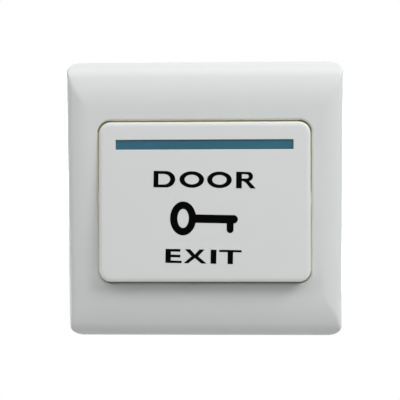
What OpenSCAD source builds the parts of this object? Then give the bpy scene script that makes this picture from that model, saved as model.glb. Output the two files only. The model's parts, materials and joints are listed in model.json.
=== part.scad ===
// Door exit button: a square wall plate with one wide push plate, hinged near its top edge,
// that works a single make contact in a housing behind the wall plane.
// Every piece is drawn lying on its back: x to the right, y up the wall, z out of the wall,
// with the wall plane at z = 0 and the plate's centre at the origin. stand() turns it upright.
// The push plate is drawn pushed in, parallel to the wall, and is then turned out to its rest.

/* [Front frame] */
// Width and height of the square frame
plate_size = 86; // [84:0.5:90]
// Radius of the frame's four outer corners
plate_corner_r = 4.3; // [3.5:0.1:7]
// Height of the frame's crown above the wall, round the aperture
crown_z = 9.5; // [9.2:0.1:10]
// Wall thickness of the frame
frame_wall = 2; // [1.6:0.1:2.2]
// Height at which the top and bottom faces start to round over
top_edge_z = 4.9; // [4.6:0.1:5.4]
// Width of the flat land round the aperture
land_w = 3; // [2.4:0.1:3.4]
// Width of the steep shoulder along the top and bottom edges
top_shoulder_w = 4.7; // [4:0.1:6]
// Radius of the long gentle arc of the top and bottom bands
top_crown_r = 38; // [30:1:60]
// Height at which the left and right faces start to round over
side_edge_z = 6.3; // [6:0.1:6.8]
// Width of the steep shoulder along the left and right edges
side_shoulder_w = 2.4; // [2.2:0.1:2.8]
// Radius of the gentle arc of the left and right bands
side_crown_r = 18; // [14:1:24]
// Size of the bevel round the aperture
aperture_bevel = 0.5; // [0.2:0.05:0.5]
// Wall of the collar behind the aperture
collar_wall = 1.6; // [1.2:0.1:2]
// Height of the collar's lower edge above the wall
collar_z = 4.6; // [4.4:0.1:5.2]
// Thickness of the stiffening webs inside the frame
web_t = 1.2; // [0.8:0.1:1.6]
// Height of the webs' lower edge above the wall
web_z = 5; // [4.6:0.1:5.4]
// Distance of the outer webs of the top and bottom bands from the middle
web_x = 24; // [16:1:28]
// Distance of the webs of the side bands from the middle
web_y = 15; // [10:1:18]
// Width of the pry slot in the bottom edge
pry_slot_w = 12; // [8:1:16]
// Height of the pry slot
pry_slot_h = 1.4; // [1:0.1:1.8]

/* [Snap beads] */
// Length of each bead that holds the frame on the base plate
bead_l = 14; // [8:1:18]
// Radius of a bead
bead_r = 0.7; // [0.5:0.05:0.8]
// Height of the beads above the wall
bead_z = 1.9; // [1.7:0.1:2.1]
// Distance of each bead's middle from the middle of its side
bead_offset = 22; // [14:1:26]

/* [Push plate] */
// Width of the push plate
push_w = 65.1; // [64:0.1:66]
// Height of the push plate
push_h = 49.2; // [48.5:0.1:50]
// Radius of the push plate's corners
push_corner_r = 3.6; // [3:0.1:5]
// Radius of the push plate's front edge
push_edge_r = 0.6; // [0.4:0.1:1]
// Radius of the gentle curve that leads from the push plate's face into its edge
push_ease_r = 4; // [3:0.5:5]
// Slope at which the gentle curve meets the edge, in degrees
push_ease_angle = 17; // [10:1:20]
// Thickness of the push plate's face
push_face_t = 2.2; // [1.8:0.1:2.4]
// Height of the push plate's face above the wall when it is pushed in
push_front_z = 10.2; // [10:0.1:10.6]
// Height of the skirt's lower edge above the wall when it is pushed in
push_skirt_z = 3.4; // [3.2:0.1:3.8]
// Thickness of the skirt
push_skirt_t = 1.5; // [1.2:0.1:1.6]
// How far the pushed-in plate's middle lies below the frame's middle
push_drop = 0.45; // [0.3:0.05:0.6]
// Angle that the push plate turns from rest until it is pushed in
press_angle = 4.5; // [3.5:0.1:5]
// Width of the ribs under the face
push_rib_w = 1.2; // [0.8:0.1:1.4]
// Depth of the ribs under the face
push_rib_h = 1.2; // [0.8:0.1:1.4]
// Distance of the upright ribs from the middle
push_rib_x = 9.4; // [8:0.2:9.6]
// Half length of the cross rib through the pressing pad
cross_rib_x = 20; // [14:1:24]
// Radius of the pad that presses the plunger
pad_r = 4; // [3.5:0.1:4.5]
// Height of the pad's end above the wall when the plate is pushed in
pad_z = 6.5; // [6.3:0.1:6.8]

/* [Indicator strip] */
// Length of the visible strip
strip_w = 54.5; // [50:0.5:56]
// Height of the visible strip
strip_h = 2.9; // [2.4:0.1:3.4]
// Distance of the strip's middle from the push plate's top edge
strip_from_top = 7; // [6.6:0.1:7.4]
// How far the strip lies below the push plate's face
strip_recess = 0.4; // [0.2:0.05:0.6]
// Length of the flange behind the face that holds the strip
strip_flange_w = 51; // [46:0.5:52]
// Height of the flange
strip_flange_h = 5; // [4.6:0.1:5.4]
// Thickness of the flange
strip_flange_t = 0.8; // [0.6:0.05:0.9]

/* [Hinge and stops] */
// Distance of the hinge axis from the pushed-in plate's top edge
hinge_from_top = 5.15; // [5.05:0.05:5.4]
// Height of the hinge axis above the wall
hinge_z = 5.5; // [5.4:0.1:5.6]
// Radius of the hinge pins
pin_r = 1.5; // [1.3:0.05:1.6]
// Length of a hinge pin past its lug
pin_past_lug = 0.3; // [0.1:0.1:0.6]
// Distance of a hinge lug's inner face from the middle
lug_x = 27; // [26.6:0.1:27.6]
// Thickness of a hinge lug
lug_t = 2.5; // [2:0.1:2.8]
// Outer radius of a hinge lug
lug_r = 2.8; // [2.6:0.05:2.9]
// Width of a hinge lug's mouth, narrower than the pin
lug_mouth = 2.6; // [2.3:0.05:2.6]
// Height of a hinge lug's tips above the hinge axis
lug_tip = 1.7; // [1.5:0.05:1.75]
// Distance of the retaining legs from the middle
leg_x = 25.6; // [25.3:0.1:26]
// Height on the wall of the retaining legs, below the middle
leg_drop = 20; // [19.5:0.1:20.5]
// Width of a retaining leg
leg_w = 3.4; // [2.8:0.1:3.6]
// Thickness of a retaining leg
leg_t = 1.5; // [1.2:0.1:1.6]
// How far a leg's nose stands out
nose_out = 0.9; // [0.8:0.05:1]
// Height of a leg's nose
nose_h = 1.2; // [1:0.1:1.4]
// Distance of the press stops from the middle
stop_x = 13.6; // [13.4:0.1:14]
// Height on the wall of the press stops, below the middle
stop_drop = 21; // [20.5:0.1:21]
// Radius of a press stop
stop_r = 1.8; // [1.4:0.1:1.8]

/* [Base plate] */
// Thickness of the base plate's floor
floor_t = 2.4; // [2.2:0.1:2.6]
// Height of the base plate's rim above the wall
rim_z = 3.8; // [3.4:0.1:3.8]
// Thickness of the rim
rim_t = 1.6; // [1.2:0.1:2]
// Distance between the two wall screws
wall_screw_spacing = 60.3; // [60:0.1:60.6]
// Width of a wall screw slot
slot_w = 4.4; // [4:0.1:4.8]
// Length of a wall screw slot
slot_l = 7; // [6.4:0.1:7.4]
// Radius of the room for a wall screw's head
screw_head_room_r = 4.6; // [4:0.1:4.8]
// Thickness left under a wall screw's head
screw_seat_t = 1.4; // [1.2:0.1:1.6]
// Height of the floor ribs above the wall
floor_rib_z = 4.4; // [3.6:0.1:4.6]
// Thickness of the floor ribs
floor_rib_t = 1.2; // [0.8:0.1:1.6]
// Depth of the seat for the rear housing in the back of the floor
housing_seat_z = 0.8; // [0.6:0.1:1]
// Outer radius of the plunger's guide
guide_r = 5; // [4.4:0.1:5.4]
// Height of the guide above the wall
guide_z = 5.6; // [5.2:0.1:5.7]

/* [Plunger and spring] */
// Distance of the plunger's axis below the hinge axis
plunger_arm = 23.5; // [23:0.1:24]
// Radius of the plunger's stem
plunger_r = 3; // [2.6:0.1:3.1]
// Radius of the dome on the plunger's end
plunger_dome_r = 12; // [10:0.5:16]
// Radius of the plunger's flange
flange_r = 4.3; // [4:0.1:4.4]
// Thickness of the plunger's flange
flange_t = 1.2; // [1:0.1:1.4]
// Radius of the neck that carries the contact bridge
neck_r = 1.6; // [1.4:0.05:1.7]
// Radius of the tail inside the spring
tail_r = 1.4; // [1.2:0.05:1.45]
// Length of the tail past the bridge retainer
tail_l = 3; // [2:0.2:4]
// Radius of the bridge retainer
retainer_r = 2.8; // [2.6:0.1:3]
// Thickness of the bridge retainer
retainer_t = 0.8; // [0.6:0.1:1]
// Radius of the return spring's wire
wire_r = 0.25; // [0.2:0.01:0.28]
// Radius of the return spring, to the middle of its wire
spring_r = 2.15; // [2.1:0.05:2.3]
// Turns of the return spring, with one closed turn at each end
spring_turns = 8; // [6:1:10]

/* [Contacts] */
// Distance of the contacts from the plunger's axis
contact_x = 8; // [7.6:0.1:8.4]
// Distance of the contact bridge's end from the middle of its contact
bridge_end = 2; // [1.8:0.1:2.4]
// Width of the contact bridge
bridge_w = 4; // [3.6:0.1:4.4]
// Thickness of the contact bridge
bridge_t = 0.5; // [0.4:0.05:0.6]
// Radius of the contacts' heads
contact_r = 1.6; // [1.4:0.05:1.8]
// Thickness of the contacts' heads
contact_t = 0.8; // [0.6:0.05:0.9]
// Radius of the contacts' shanks
contact_shank_r = 0.8; // [0.6:0.05:0.9]
// Step round the contacts' faces
contact_step = 0.25; // [0.1:0.05:0.3]
// Gap that is left between the contacts when the plate is pushed in
contact_gap_pressed = 0.05; // [0.03:0.01:0.1]

/* [Terminals] */
// Distance of a terminal screw from the contact on the same strip
terminal_from_contact = 8.8; // [8.6:0.1:9.2]
// Width of a terminal strip
terminal_w = 8.8; // [8.4:0.1:8.8]
// Thickness of a terminal strip
terminal_t = 0.8; // [0.6:0.05:0.9]
// Distance of a terminal strip's inner end from the middle of its contact
terminal_end_in = 2.4; // [2.2:0.1:2.6]
// Height of the lip that a terminal strip's outer end is bent up to
terminal_lip = 2; // [1.4:0.1:2.4]
// Radius of a terminal screw's thread
terminal_screw_r = 1.75; // [1.5:0.05:1.8]
// Radius of a terminal screw's head
terminal_head_r = 3.1; // [2.8:0.1:3.2]
// Height of a terminal screw's head
terminal_head_h = 2.2; // [1.8:0.1:2.4]
// Length of the cross in a terminal screw's head
terminal_cross_l = 4; // [3.4:0.1:4.6]
// Width of the cross in a terminal screw's head
terminal_cross_w = 0.9; // [0.7:0.05:1.1]
// Depth of the cross in a terminal screw's head
terminal_cross_depth = 1.2; // [0.8:0.1:1.4]
// Length of a terminal screw past its nut
terminal_screw_past = 0.5; // [0.2:0.1:0.8]
// Radius of a clamp washer
washer_r = 3.4; // [3.3:0.05:3.5]
// Thickness of a clamp washer
washer_t = 0.8; // [0.6:0.1:1]
// Width of a terminal nut across its flats
nut_w = 6.4; // [6:0.1:6.6]
// Thickness of a terminal nut
nut_t = 2; // [1.8:0.1:2.2]

/* [Rear housing] */
// Distance of a terminal screw from the end of the rear housing
terminal_from_end = 6.2; // [6:0.1:6.4]
// Height of the rear housing's block
housing_h = 18; // [14:0.5:19]
// Depth of the rear housing, from its seat in the base plate
housing_depth = 14; // [13.6:0.1:15]
// Thickness of the rear housing's flange
housing_flange_t = 2.5; // [2:0.1:3]
// Radius of the flange's corners
housing_corner_r = 2; // [1:0.5:3]
// Wall behind the spring
housing_floor_t = 1.6; // [1.2:0.1:2]
// Width of the chamber for the contacts
chamber_w = 9.2; // [9:0.1:9.4]
// Half width of a terminal bay
bay_half = 3.7; // [3.6:0.05:3.8]
// Distance of a terminal bay's inner wall from its screw
bay_in = 4; // [3.8:0.1:4.4]
// Radius of the post inside the spring
spring_post_r = 1.4; // [1.2:0.05:1.5]
// Height of the post inside the spring
spring_post_h = 2.4; // [1.6:0.2:2.6]

/* [Housing screws] */
// Distance of the housing screws from the flange's left and right ends
screw_from_end = 3.5; // [3:0.1:4]
// Distance of the housing screws from the flange's upper and lower edges
screw_from_edge = 4.5; // [3.5:0.1:4.6]
// Room between a housing screw's head and the housing's block
screw_head_room = 1.7; // [1:0.1:2]
// Radius of a housing screw's thread
housing_screw_r = 1.1; // [0.9:0.05:1.2]
// Radius of a housing screw's head
housing_head_r = 2.3; // [2:0.1:2.6]
// Height of a housing screw's head
housing_head_h = 1.7; // [1.4:0.1:2]
// Length of the cross in a housing screw's head
housing_cross_l = 3; // [2.4:0.1:3.4]
// Width of the cross in a housing screw's head
housing_cross_w = 0.65; // [0.5:0.05:0.8]
// Depth of the cross in a housing screw's head
housing_cross_depth = 0.95; // [0.6:0.05:1.1]
// Length of a housing screw's thread
housing_screw_l = 5.9; // [5.4:0.1:6]
// Radius of a screw boss
boss_r = 2.6; // [2.4:0.1:2.8]
// Height of the screw bosses above the wall
boss_z = 5.4; // [5.3:0.1:5.6]
// Thickness left over a housing screw's end
boss_roof_t = 0.9; // [0.6:0.1:0.9]

/* [Clearances] */
// Gap between the push plate's sides and the aperture
side_gap = 0.45; // [0.35:0.05:0.6]
// Gap above the push plate at rest
top_gap = 0.45; // [0.35:0.05:0.6]
// Gap below the push plate when it is pushed in
bottom_gap = 0.65; // [0.5:0.05:0.8]
// Gap between the base plate and the inside of the frame
base_gap = 0.25; // [0.2:0.05:0.35]
// Gap between a hinge pin and its lug, and between the plunger and its guide
running_gap = 0.1; // [0.05:0.01:0.1]
// Gap between pieces that are seated on each other or threaded together
seat_gap = 0.05; // [0.02:0.01:0.08]
// Gap round a housing screw in the housing's flange
screw_hole_gap = 0.15; // [0.1:0.05:0.25]
// Gap between the push plate's pad and the plunger
pad_gap = 0.1; // [0.08:0.01:0.2]
// Gap between a leg's nose and its ledge at rest
stop_gap = 0.3; // [0.2:0.05:0.4]
// Gap round a leg in its window
window_gap = 0.4; // [0.3:0.05:0.5]
// Gap between the press stops and the pushed-in plate
press_gap = 0.15; // [0.1:0.05:0.2]

/* [Hidden] */
$fn = 64;
// Overlap of two shapes that are one moulding, and of a cut past its face
bite = 0.5;

frame_half = plate_size / 2;
base_half = frame_half - frame_wall - base_gap;
base_corner_r = plate_corner_r - frame_wall;
rim_in_r = max(base_corner_r - rim_t, rim_t / 2);

push_top = push_h / 2 - push_drop;
push_bottom = -push_h / 2 - push_drop;
push_under_z = push_front_z - push_face_t;
hinge_y = push_top - hinge_from_top;
strip_y = push_top - strip_from_top;

// Where a point of the pushed-in plate lies at rest, up the wall and out of the wall
function rest_y(y, z) = hinge_y + (y - hinge_y) * cos(press_angle) + (z - hinge_z) * sin(press_angle);
function rest_z(y, z) = hinge_z - (y - hinge_y) * sin(press_angle) + (z - hinge_z) * cos(press_angle);

aperture_w = push_w + 2 * side_gap;
aperture_top = rest_y(push_top, push_front_z) + top_gap;
aperture_bottom = push_bottom - bottom_gap;
aperture_h = aperture_top - aperture_bottom;
aperture_y = (aperture_top + aperture_bottom) / 2;
aperture_r = push_corner_r + side_gap;
land_x = aperture_w / 2 + land_w;
land_y = max(aperture_top, -aperture_bottom) + land_w;

bead_groove = bead_r + window_gap;

skirt_in_x = push_w / 2 - push_skirt_t;

leg_y = -leg_drop;
window_out_x = leg_x + leg_t + window_gap;
ledge_z = floor_t / 2;
leg_travel = (hinge_y - leg_y) * sin(press_angle);
nose_z = ledge_z - stop_gap - leg_travel;
nose_tip_x = leg_x + leg_t + nose_out;
leg_slope_room = (push_front_z - nose_z) * sin(press_angle) / 2;
stop_y = -stop_drop;

plunger_y = hinge_y - plunger_arm;
plunger_travel = plunger_arm * press_angle * PI / 180;
plunger_top = rest_z(plunger_y, pad_z) - pad_gap;
flange_top = housing_seat_z - seat_gap;
flange_bottom = flange_top - flange_t;
bridge_bottom = flange_bottom - bridge_t;
retainer_bottom = bridge_bottom - retainer_t - seat_gap;
tail_end = retainer_bottom - tail_l;

bridge_l = 2 * (contact_x + bridge_end);
bridge_contact_face = bridge_bottom - contact_t;
terminal_x = contact_x + terminal_from_contact;
terminal_in_x = contact_x - terminal_end_in;
terminal_top = bridge_contact_face - plunger_travel - contact_gap_pressed - contact_t;
terminal_bottom = terminal_top - terminal_t;
washer_bottom = terminal_bottom - washer_t;
terminal_end_x = terminal_x + nut_w / 2 + seat_gap + terminal_t;

housing_back = housing_seat_z - housing_depth;
spring_seat = housing_back + housing_floor_t;
housing_w = 2 * (terminal_x + terminal_from_end);
housing_screw_x = housing_w / 2 - screw_from_end;
housing_screw_y = housing_h / 2 + housing_head_r + screw_head_room;
housing_flange_h = 2 * (housing_screw_y + screw_from_edge);
bay_x = terminal_x - bay_in;
chamber_x = terminal_end_x + seat_gap;
well_half = chamber_w / 2;

spring_top = retainer_bottom - wire_r;
spring_bottom = spring_seat + wire_r;
closed_pitch = 2 * wire_r + seat_gap;
open_pitch = (spring_top - spring_bottom - 2 * closed_pitch) / (spring_turns - 2);
// Sides of the wire, and rings of points in each turn
wire_sides = 8;
turn_rings = 14;
// Steps of each arc in the push plate's edge
edge_steps = 6;

white = [0.93, 0.93, 0.92];
inner_white = [0.88, 0.88, 0.86];
teal = [0.22, 0.38, 0.43];
dark_grey = [0.22, 0.22, 0.24];
brass = [0.80, 0.64, 0.33];
silver = [0.82, 0.82, 0.80];
steel = [0.66, 0.67, 0.69];

// Shared helpers

// Turns the lying model upright, with its face towards -Y
module stand() {
    rotate([90, 0, 0]) children();
}

// Turns a piece of the pushed-in plate out to its rest position
module at_rest() {
    translate([0, hinge_y, hinge_z])
        rotate([-press_angle, 0, 0])
            translate([0, -hinge_y, -hinge_z]) children();
}

module both_sides() {
    children();
    mirror([1, 0, 0]) children();
}

module rounded_rect(w, h, r) {
    square([w, h - 2 * r], center = true);
    square([w - 2 * r, h], center = true);
    for (sx = [-1, 1], sy = [-1, 1])
        translate([sx * (w / 2 - r), sy * (h / 2 - r)]) circle(r);
}

// A rounded rectangular block between two heights
module slab(w, h, r, z0, z1) {
    translate([0, 0, z0]) linear_extrude(z1 - z0) rounded_rect(w, h, r);
}

// A slot along x, as long as l from end to end
module slot_outline(l, w) {
    square([l - w, w], center = true);
    for (sx = [-1, 1]) translate([sx * (l - w) / 2, 0]) circle(w / 2);
}

// A block with its x and y middle at the origin
module bar(w, h, z0, z1) {
    translate([-w / 2, -h / 2, z0]) cube([w, h, z1 - z0]);
}

// Front frame

// Half of a band's cross-section: flat to land_u, a gentle crown arc, then a steeper shoulder
// arc that starts in line with it and ends at edge_z on the outer wall. inset gives the
// parallel inner surface.
module band_half(land_u, edge_z, shoulder_w, crown_r, inset, low_z) {
    slope = asin((frame_half - shoulder_w - land_u) / crown_r);
    normal = [sin(slope), cos(slope)];
    crown_c = [land_u, crown_z - crown_r];
    join = crown_c + crown_r * normal;
    span = [frame_half, edge_z] - join;
    shoulder_r = -(span * span) / (2 * (span * normal));
    shoulder_c = join - shoulder_r * normal;
    join_u = join[0] - inset * normal[0];
    wall_u = frame_half - inset;
    wall_top = max(shoulder_c[1], low_z + bite);
    translate([-bite, low_z]) square([land_u + bite, crown_z - inset - low_z]);
    intersection() {
        translate(crown_c) circle(crown_r - inset, $fn = 360);
        translate([land_u - bite, low_z]) square([join_u - land_u + bite, crown_z - low_z]);
    }
    intersection() {
        translate(shoulder_c) circle(shoulder_r - inset, $fn = 120);
        translate([join_u - bite, shoulder_c[1]]) square([wall_u - join_u + bite, crown_z - shoulder_c[1]]);
    }
    translate([join_u - bite, low_z]) square([wall_u - join_u + bite, wall_top - low_z]);
}

module band_outline(land_u, edge_z, shoulder_w, crown_r, inset, low_z) {
    band_half(land_u, edge_z, shoulder_w, crown_r, inset, low_z);
    mirror([1, 0]) band_half(land_u, edge_z, shoulder_w, crown_r, inset, low_z);
}

// The frame's outer form, or the surface parallel to it by inset. The crowns of the two
// directions cross at the corners, which leaves the mitre lines.
module frame_form(inset, low_z) {
    intersection() {
        slab(plate_size - 2 * inset, plate_size - 2 * inset, plate_corner_r - inset, low_z, crown_z);
        rotate([90, 0, 90]) linear_extrude(plate_size, center = true)
            band_outline(land_y, top_edge_z, top_shoulder_w, top_crown_r, inset, low_z);
        rotate([90, 0, 0]) linear_extrude(plate_size, center = true)
            band_outline(land_x, side_edge_z, side_shoulder_w, side_crown_r, inset, low_z);
    }
}

module aperture_slab(grow, z0, z1) {
    translate([0, aperture_y, 0])
        slab(aperture_w + 2 * grow, aperture_h + 2 * grow, aperture_r + grow, z0, z1);
}

module aperture_bevel_cut() {
    hull() {
        aperture_slab(0, crown_z - aperture_bevel, crown_z);
        aperture_slab(aperture_bevel + seat_gap, crown_z + seat_gap, crown_z + bite);
    }
}

// The pair of beads along the right-hand inner wall
module side_beads() {
    for (sy = [-1, 1])
        translate([frame_half - frame_wall, sy * bead_offset, bead_z])
            rotate([90, 0, 0]) cylinder(r = bead_r, h = bead_l, center = true);
}

module frame_webs() {
    for (x = [-web_x, 0, web_x]) translate([x, 0, 0]) bar(web_t, plate_size, web_z, crown_z);
    for (y = [-web_y, web_y]) translate([0, y, 0]) bar(plate_size, web_t, web_z, crown_z);
}

// The room behind the bands, with the collar, the webs and the beads left standing in it
module frame_hollow() {
    difference() {
        frame_form(frame_wall, -bite);
        aperture_slab(collar_wall, collar_z, crown_z);
        frame_webs();
        for (turn = [0:90:270]) rotate([0, 0, turn]) side_beads();
    }
}

module front_frame() {
    color(white) stand() difference() {
        frame_form(0, 0);
        frame_hollow();
        aperture_slab(0, -bite, crown_z + bite);
        aperture_bevel_cut();
        translate([0, -frame_half + frame_wall / 2, 0])
            bar(pry_slot_w, frame_wall + bite, -bite, pry_slot_h);
    }
}

// Base plate

// Side view of a hinge lug: a ring on a foot, open to the front through a narrow mouth
module lug_outline() {
    difference() {
        union() {
            translate([hinge_y, hinge_z]) circle(lug_r);
            translate([hinge_y - lug_r, floor_t - bite]) square([2 * lug_r, hinge_z - floor_t + bite]);
        }
        translate([hinge_y, hinge_z]) circle(pin_r + running_gap);
        translate([hinge_y - lug_mouth / 2, hinge_z]) square([lug_mouth, 2 * lug_r]);
        translate([hinge_y - 2 * lug_r, hinge_z + lug_tip]) square([4 * lug_r, 2 * lug_r]);
        polygon([
            [hinge_y - lug_mouth / 2, hinge_z + lug_tip - bite],
            [hinge_y + lug_mouth / 2, hinge_z + lug_tip - bite],
            [hinge_y + lug_mouth / 2 + bite, hinge_z + lug_tip + bite / 2],
            [hinge_y - lug_mouth / 2 - bite, hinge_z + lug_tip + bite / 2]
        ]);
    }
}

module hinge_lug() {
    translate([lug_x, 0, 0]) rotate([90, 0, 90]) linear_extrude(lug_t) lug_outline();
}

module at_housing_screws() {
    for (sx = [-1, 1], sy = [-1, 1])
        translate([sx * housing_screw_x, plunger_y + sy * housing_screw_y, 0]) children();
}

module floor_ribs() {
    for (sy = [-1, 1]) translate([0, plunger_y + sy * housing_screw_y, 0])
        bar(2 * housing_screw_x, floor_rib_t, floor_t - bite, floor_rib_z);
    for (sx = [-1, 1]) translate([sx * housing_screw_x, plunger_y, 0])
        bar(floor_rib_t, 2 * housing_screw_y, floor_t - bite, floor_rib_z);
    translate([0, plunger_y, 0]) bar(2 * housing_screw_x, floor_rib_t, floor_t - bite, floor_rib_z);
}

// Window for a retaining leg, with a pocket behind the ledge that its nose catches
module leg_window() {
    window_h = leg_w + 2 * window_gap + 2 * leg_slope_room;
    translate([leg_x - window_gap, leg_y - window_h / 2, -bite])
        cube([window_out_x - leg_x + window_gap, window_h, floor_t + 2 * bite]);
    translate([leg_x - window_gap, leg_y - window_h / 2, -bite])
        cube([nose_tip_x - leg_x + 2 * window_gap, window_h, ledge_z + bite]);
}

module wall_screw_slot() {
    translate([wall_screw_spacing / 2, 0, -bite])
        linear_extrude(floor_t + 2 * bite) slot_outline(slot_l, slot_w);
    translate([wall_screw_spacing / 2, 0, screw_seat_t]) linear_extrude(floor_t)
        slot_outline(slot_l - slot_w + 2 * screw_head_room_r, 2 * screw_head_room_r);
}

// Groove in the right-hand edge for one pair of the frame's beads
module bead_grooves() {
    for (sy = [-1, 1]) translate([base_half, sy * bead_offset, 0])
        bar(2 * (bead_groove - base_gap), bead_l + 2 * window_gap,
            bead_z - bead_r - base_gap, bead_z + bead_r + base_gap);
}

module base_plate() {
    color(inner_white) stand() difference() {
        union() {
            difference() {
                slab(2 * base_half, 2 * base_half, base_corner_r, 0, rim_z);
                slab(2 * (base_half - rim_t), 2 * (base_half - rim_t), rim_in_r, floor_t, rim_z + bite);
            }
            both_sides() hinge_lug();
            at_housing_screws() translate([0, 0, floor_t - bite])
                cylinder(r = boss_r, h = boss_z - floor_t + bite);
            floor_ribs();
            translate([0, plunger_y, floor_t - bite]) cylinder(r = guide_r, h = guide_z - floor_t + bite);
            both_sides() translate([stop_x, stop_y, floor_t - bite])
                cylinder(r = stop_r, h = push_under_z - press_gap - floor_t + bite);
        }
        translate([0, plunger_y, -bite]) cylinder(r = plunger_r + running_gap, h = guide_z + 2 * bite);
        at_housing_screws() translate([0, 0, -bite])
            cylinder(r = housing_screw_r + seat_gap, h = boss_z - boss_roof_t + bite);
        both_sides() wall_screw_slot();
        both_sides() leg_window();
        for (turn = [0:90:270]) rotate([0, 0, turn]) bead_grooves();
        translate([0, plunger_y, 0]) slab(housing_w + 2 * window_gap,
            housing_flange_h + 2 * window_gap, housing_corner_r + window_gap, -bite, housing_seat_z);
    }
}

// Push plate

// A corner of the push plate: a disc whose face runs into its wall by a gentle arc and a tight one
module push_puck() {
    puck_h = push_front_z - push_skirt_z;
    tight_z = puck_h - push_ease_r * (1 - cos(push_ease_angle)) - push_edge_r * cos(push_ease_angle);
    tight_u = push_corner_r - push_edge_r;
    ease_u = tight_u - (push_ease_r - push_edge_r) * sin(push_ease_angle);
    rotate_extrude($fn = 48) polygon([
        [0, 0],
        [push_corner_r, 0],
        for (i = [0:edge_steps]) let (a = (90 - push_ease_angle) * i / edge_steps)
            [tight_u + push_edge_r * cos(a), tight_z + push_edge_r * sin(a)],
        for (i = [1:edge_steps]) let (a = push_ease_angle * (1 - i / edge_steps))
            [ease_u + push_ease_r * sin(a), puck_h - push_ease_r * (1 - cos(a))],
        [0, puck_h]
    ]);
}

module push_block() {
    hull() for (sx = [-1, 1], sy = [-1, 1])
        translate([
            sx * (push_w / 2 - push_corner_r),
            (sy > 0 ? push_top - push_corner_r : push_bottom + push_corner_r),
            push_skirt_z
        ]) push_puck();
}

module push_hollow() {
    translate([0, -push_drop, 0])
        slab(push_w - 2 * push_skirt_t, push_h - 2 * push_skirt_t, push_corner_r - push_skirt_t,
            push_skirt_z - bite, push_under_z);
}

module retaining_leg() {
    translate([leg_x, leg_y + leg_w / 2, 0]) rotate([90, 0, 0]) linear_extrude(leg_w) polygon([
        [0, push_under_z + bite],
        [0, nose_z - nose_h],
        [leg_t, nose_z - nose_h],
        [leg_t + nose_out, nose_z - nose_h / 3],
        [leg_t + nose_out, nose_z],
        [leg_t, nose_z],
        [leg_t, push_under_z + bite]
    ]);
}

module hinge_pin() {
    translate([lug_x - pin_past_lug, hinge_y, hinge_z]) rotate([0, 90, 0])
        cylinder(r = pin_r, h = skirt_in_x + bite - lug_x + pin_past_lug);
}

module push_ribs() {
    rib_top_y = strip_y - strip_flange_h / 2 - 2 * window_gap;
    for (sx = [-1, 1])
        translate([sx * push_rib_x, (rib_top_y + push_bottom + push_skirt_t) / 2, 0])
            bar(push_rib_w, rib_top_y - push_bottom, push_under_z - push_rib_h, push_under_z + bite);
    translate([0, plunger_y, 0])
        bar(2 * cross_rib_x, push_rib_w, push_under_z - push_rib_h, push_under_z + bite);
    translate([0, plunger_y, pad_z]) cylinder(r = pad_r, h = push_under_z + bite - pad_z);
}

module push_plate() {
    color(white) stand() at_rest() difference() {
        union() {
            difference() {
                push_block();
                push_hollow();
                both_sides() translate([push_w / 2, 0, 0])
                    bar(4 * push_skirt_t, 2 * (screw_head_room_r + 2 * window_gap),
                        push_skirt_z - bite, collar_z + bite);
            }
            push_ribs();
            both_sides() retaining_leg();
            both_sides() hinge_pin();
        }
        translate([0, strip_y, 0])
            bar(strip_w + 2 * seat_gap, strip_h + 2 * seat_gap, push_under_z - bite, push_front_z + bite);
    }
}

module indicator_strip() {
    color(teal) stand() at_rest() translate([0, strip_y, 0]) {
        bar(strip_w, strip_h, push_under_z - strip_flange_t / 2, push_front_z - strip_recess);
        bar(strip_flange_w, strip_flange_h, push_under_z - strip_flange_t, push_under_z);
    }
}

// Plunger and what it carries

module plunger() {
    color(dark_grey) stand() translate([0, plunger_y, 0]) rotate_extrude() {
        intersection() {
            translate([0, flange_bottom]) square([plunger_r, plunger_top - flange_bottom]);
            translate([0, plunger_top - plunger_dome_r]) circle(plunger_dome_r, $fn = 180);
        }
        translate([0, flange_bottom]) square([flange_r, flange_t]);
        translate([0, bridge_bottom]) square([neck_r, flange_bottom - bridge_bottom + bite]);
        translate([0, tail_end]) square([tail_r, bridge_bottom - tail_end + bite]);
    }
}

module bridge_retainer() {
    color(steel) stand() translate([0, plunger_y, retainer_bottom]) difference() {
        cylinder(r = retainer_r, h = retainer_t);
        translate([0, 0, -bite]) cylinder(r = tail_r + seat_gap, h = retainer_t + 2 * bite);
    }
}

module contact_bridge() {
    color(brass) stand() translate([0, plunger_y, bridge_bottom]) linear_extrude(bridge_t) difference() {
        slot_outline(bridge_l, bridge_w);
        circle(neck_r + seat_gap);
        for (sx = [-1, 1]) translate([sx * contact_x, 0]) circle(contact_shank_r + seat_gap);
    }
}

// A rivet contact with its face at z = 0 and its shank towards +z
module contact_rivet(shank_l) {
    rotate_extrude() {
        square([contact_r - contact_step, contact_t]);
        translate([0, contact_step]) square([contact_r, contact_t - contact_step]);
        square([contact_shank_r, contact_t + shank_l]);
    }
}

module bridge_contact(side) {
    color(silver) stand() translate([side * contact_x, plunger_y, bridge_contact_face])
        contact_rivet(bridge_t);
}

module fixed_contact(side) {
    color(silver) stand() translate([side * contact_x, plunger_y, terminal_top + contact_t])
        mirror([0, 0, 1]) contact_rivet(terminal_t - seat_gap);
}

// Height of the spring's wire after turn t, with its first and last turn closed
function spring_z(t) =
    t < 1 ? spring_bottom + closed_pitch * t :
    t > spring_turns - 1 ? spring_top - closed_pitch * (spring_turns - t) :
    spring_bottom + closed_pitch + open_pitch * (t - 1);
function wire_point(t, a) = [
    (spring_r + wire_r * cos(a)) * cos(360 * t),
    (spring_r + wire_r * cos(a)) * sin(360 * t),
    spring_z(t) + wire_r * sin(a)
];

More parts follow.
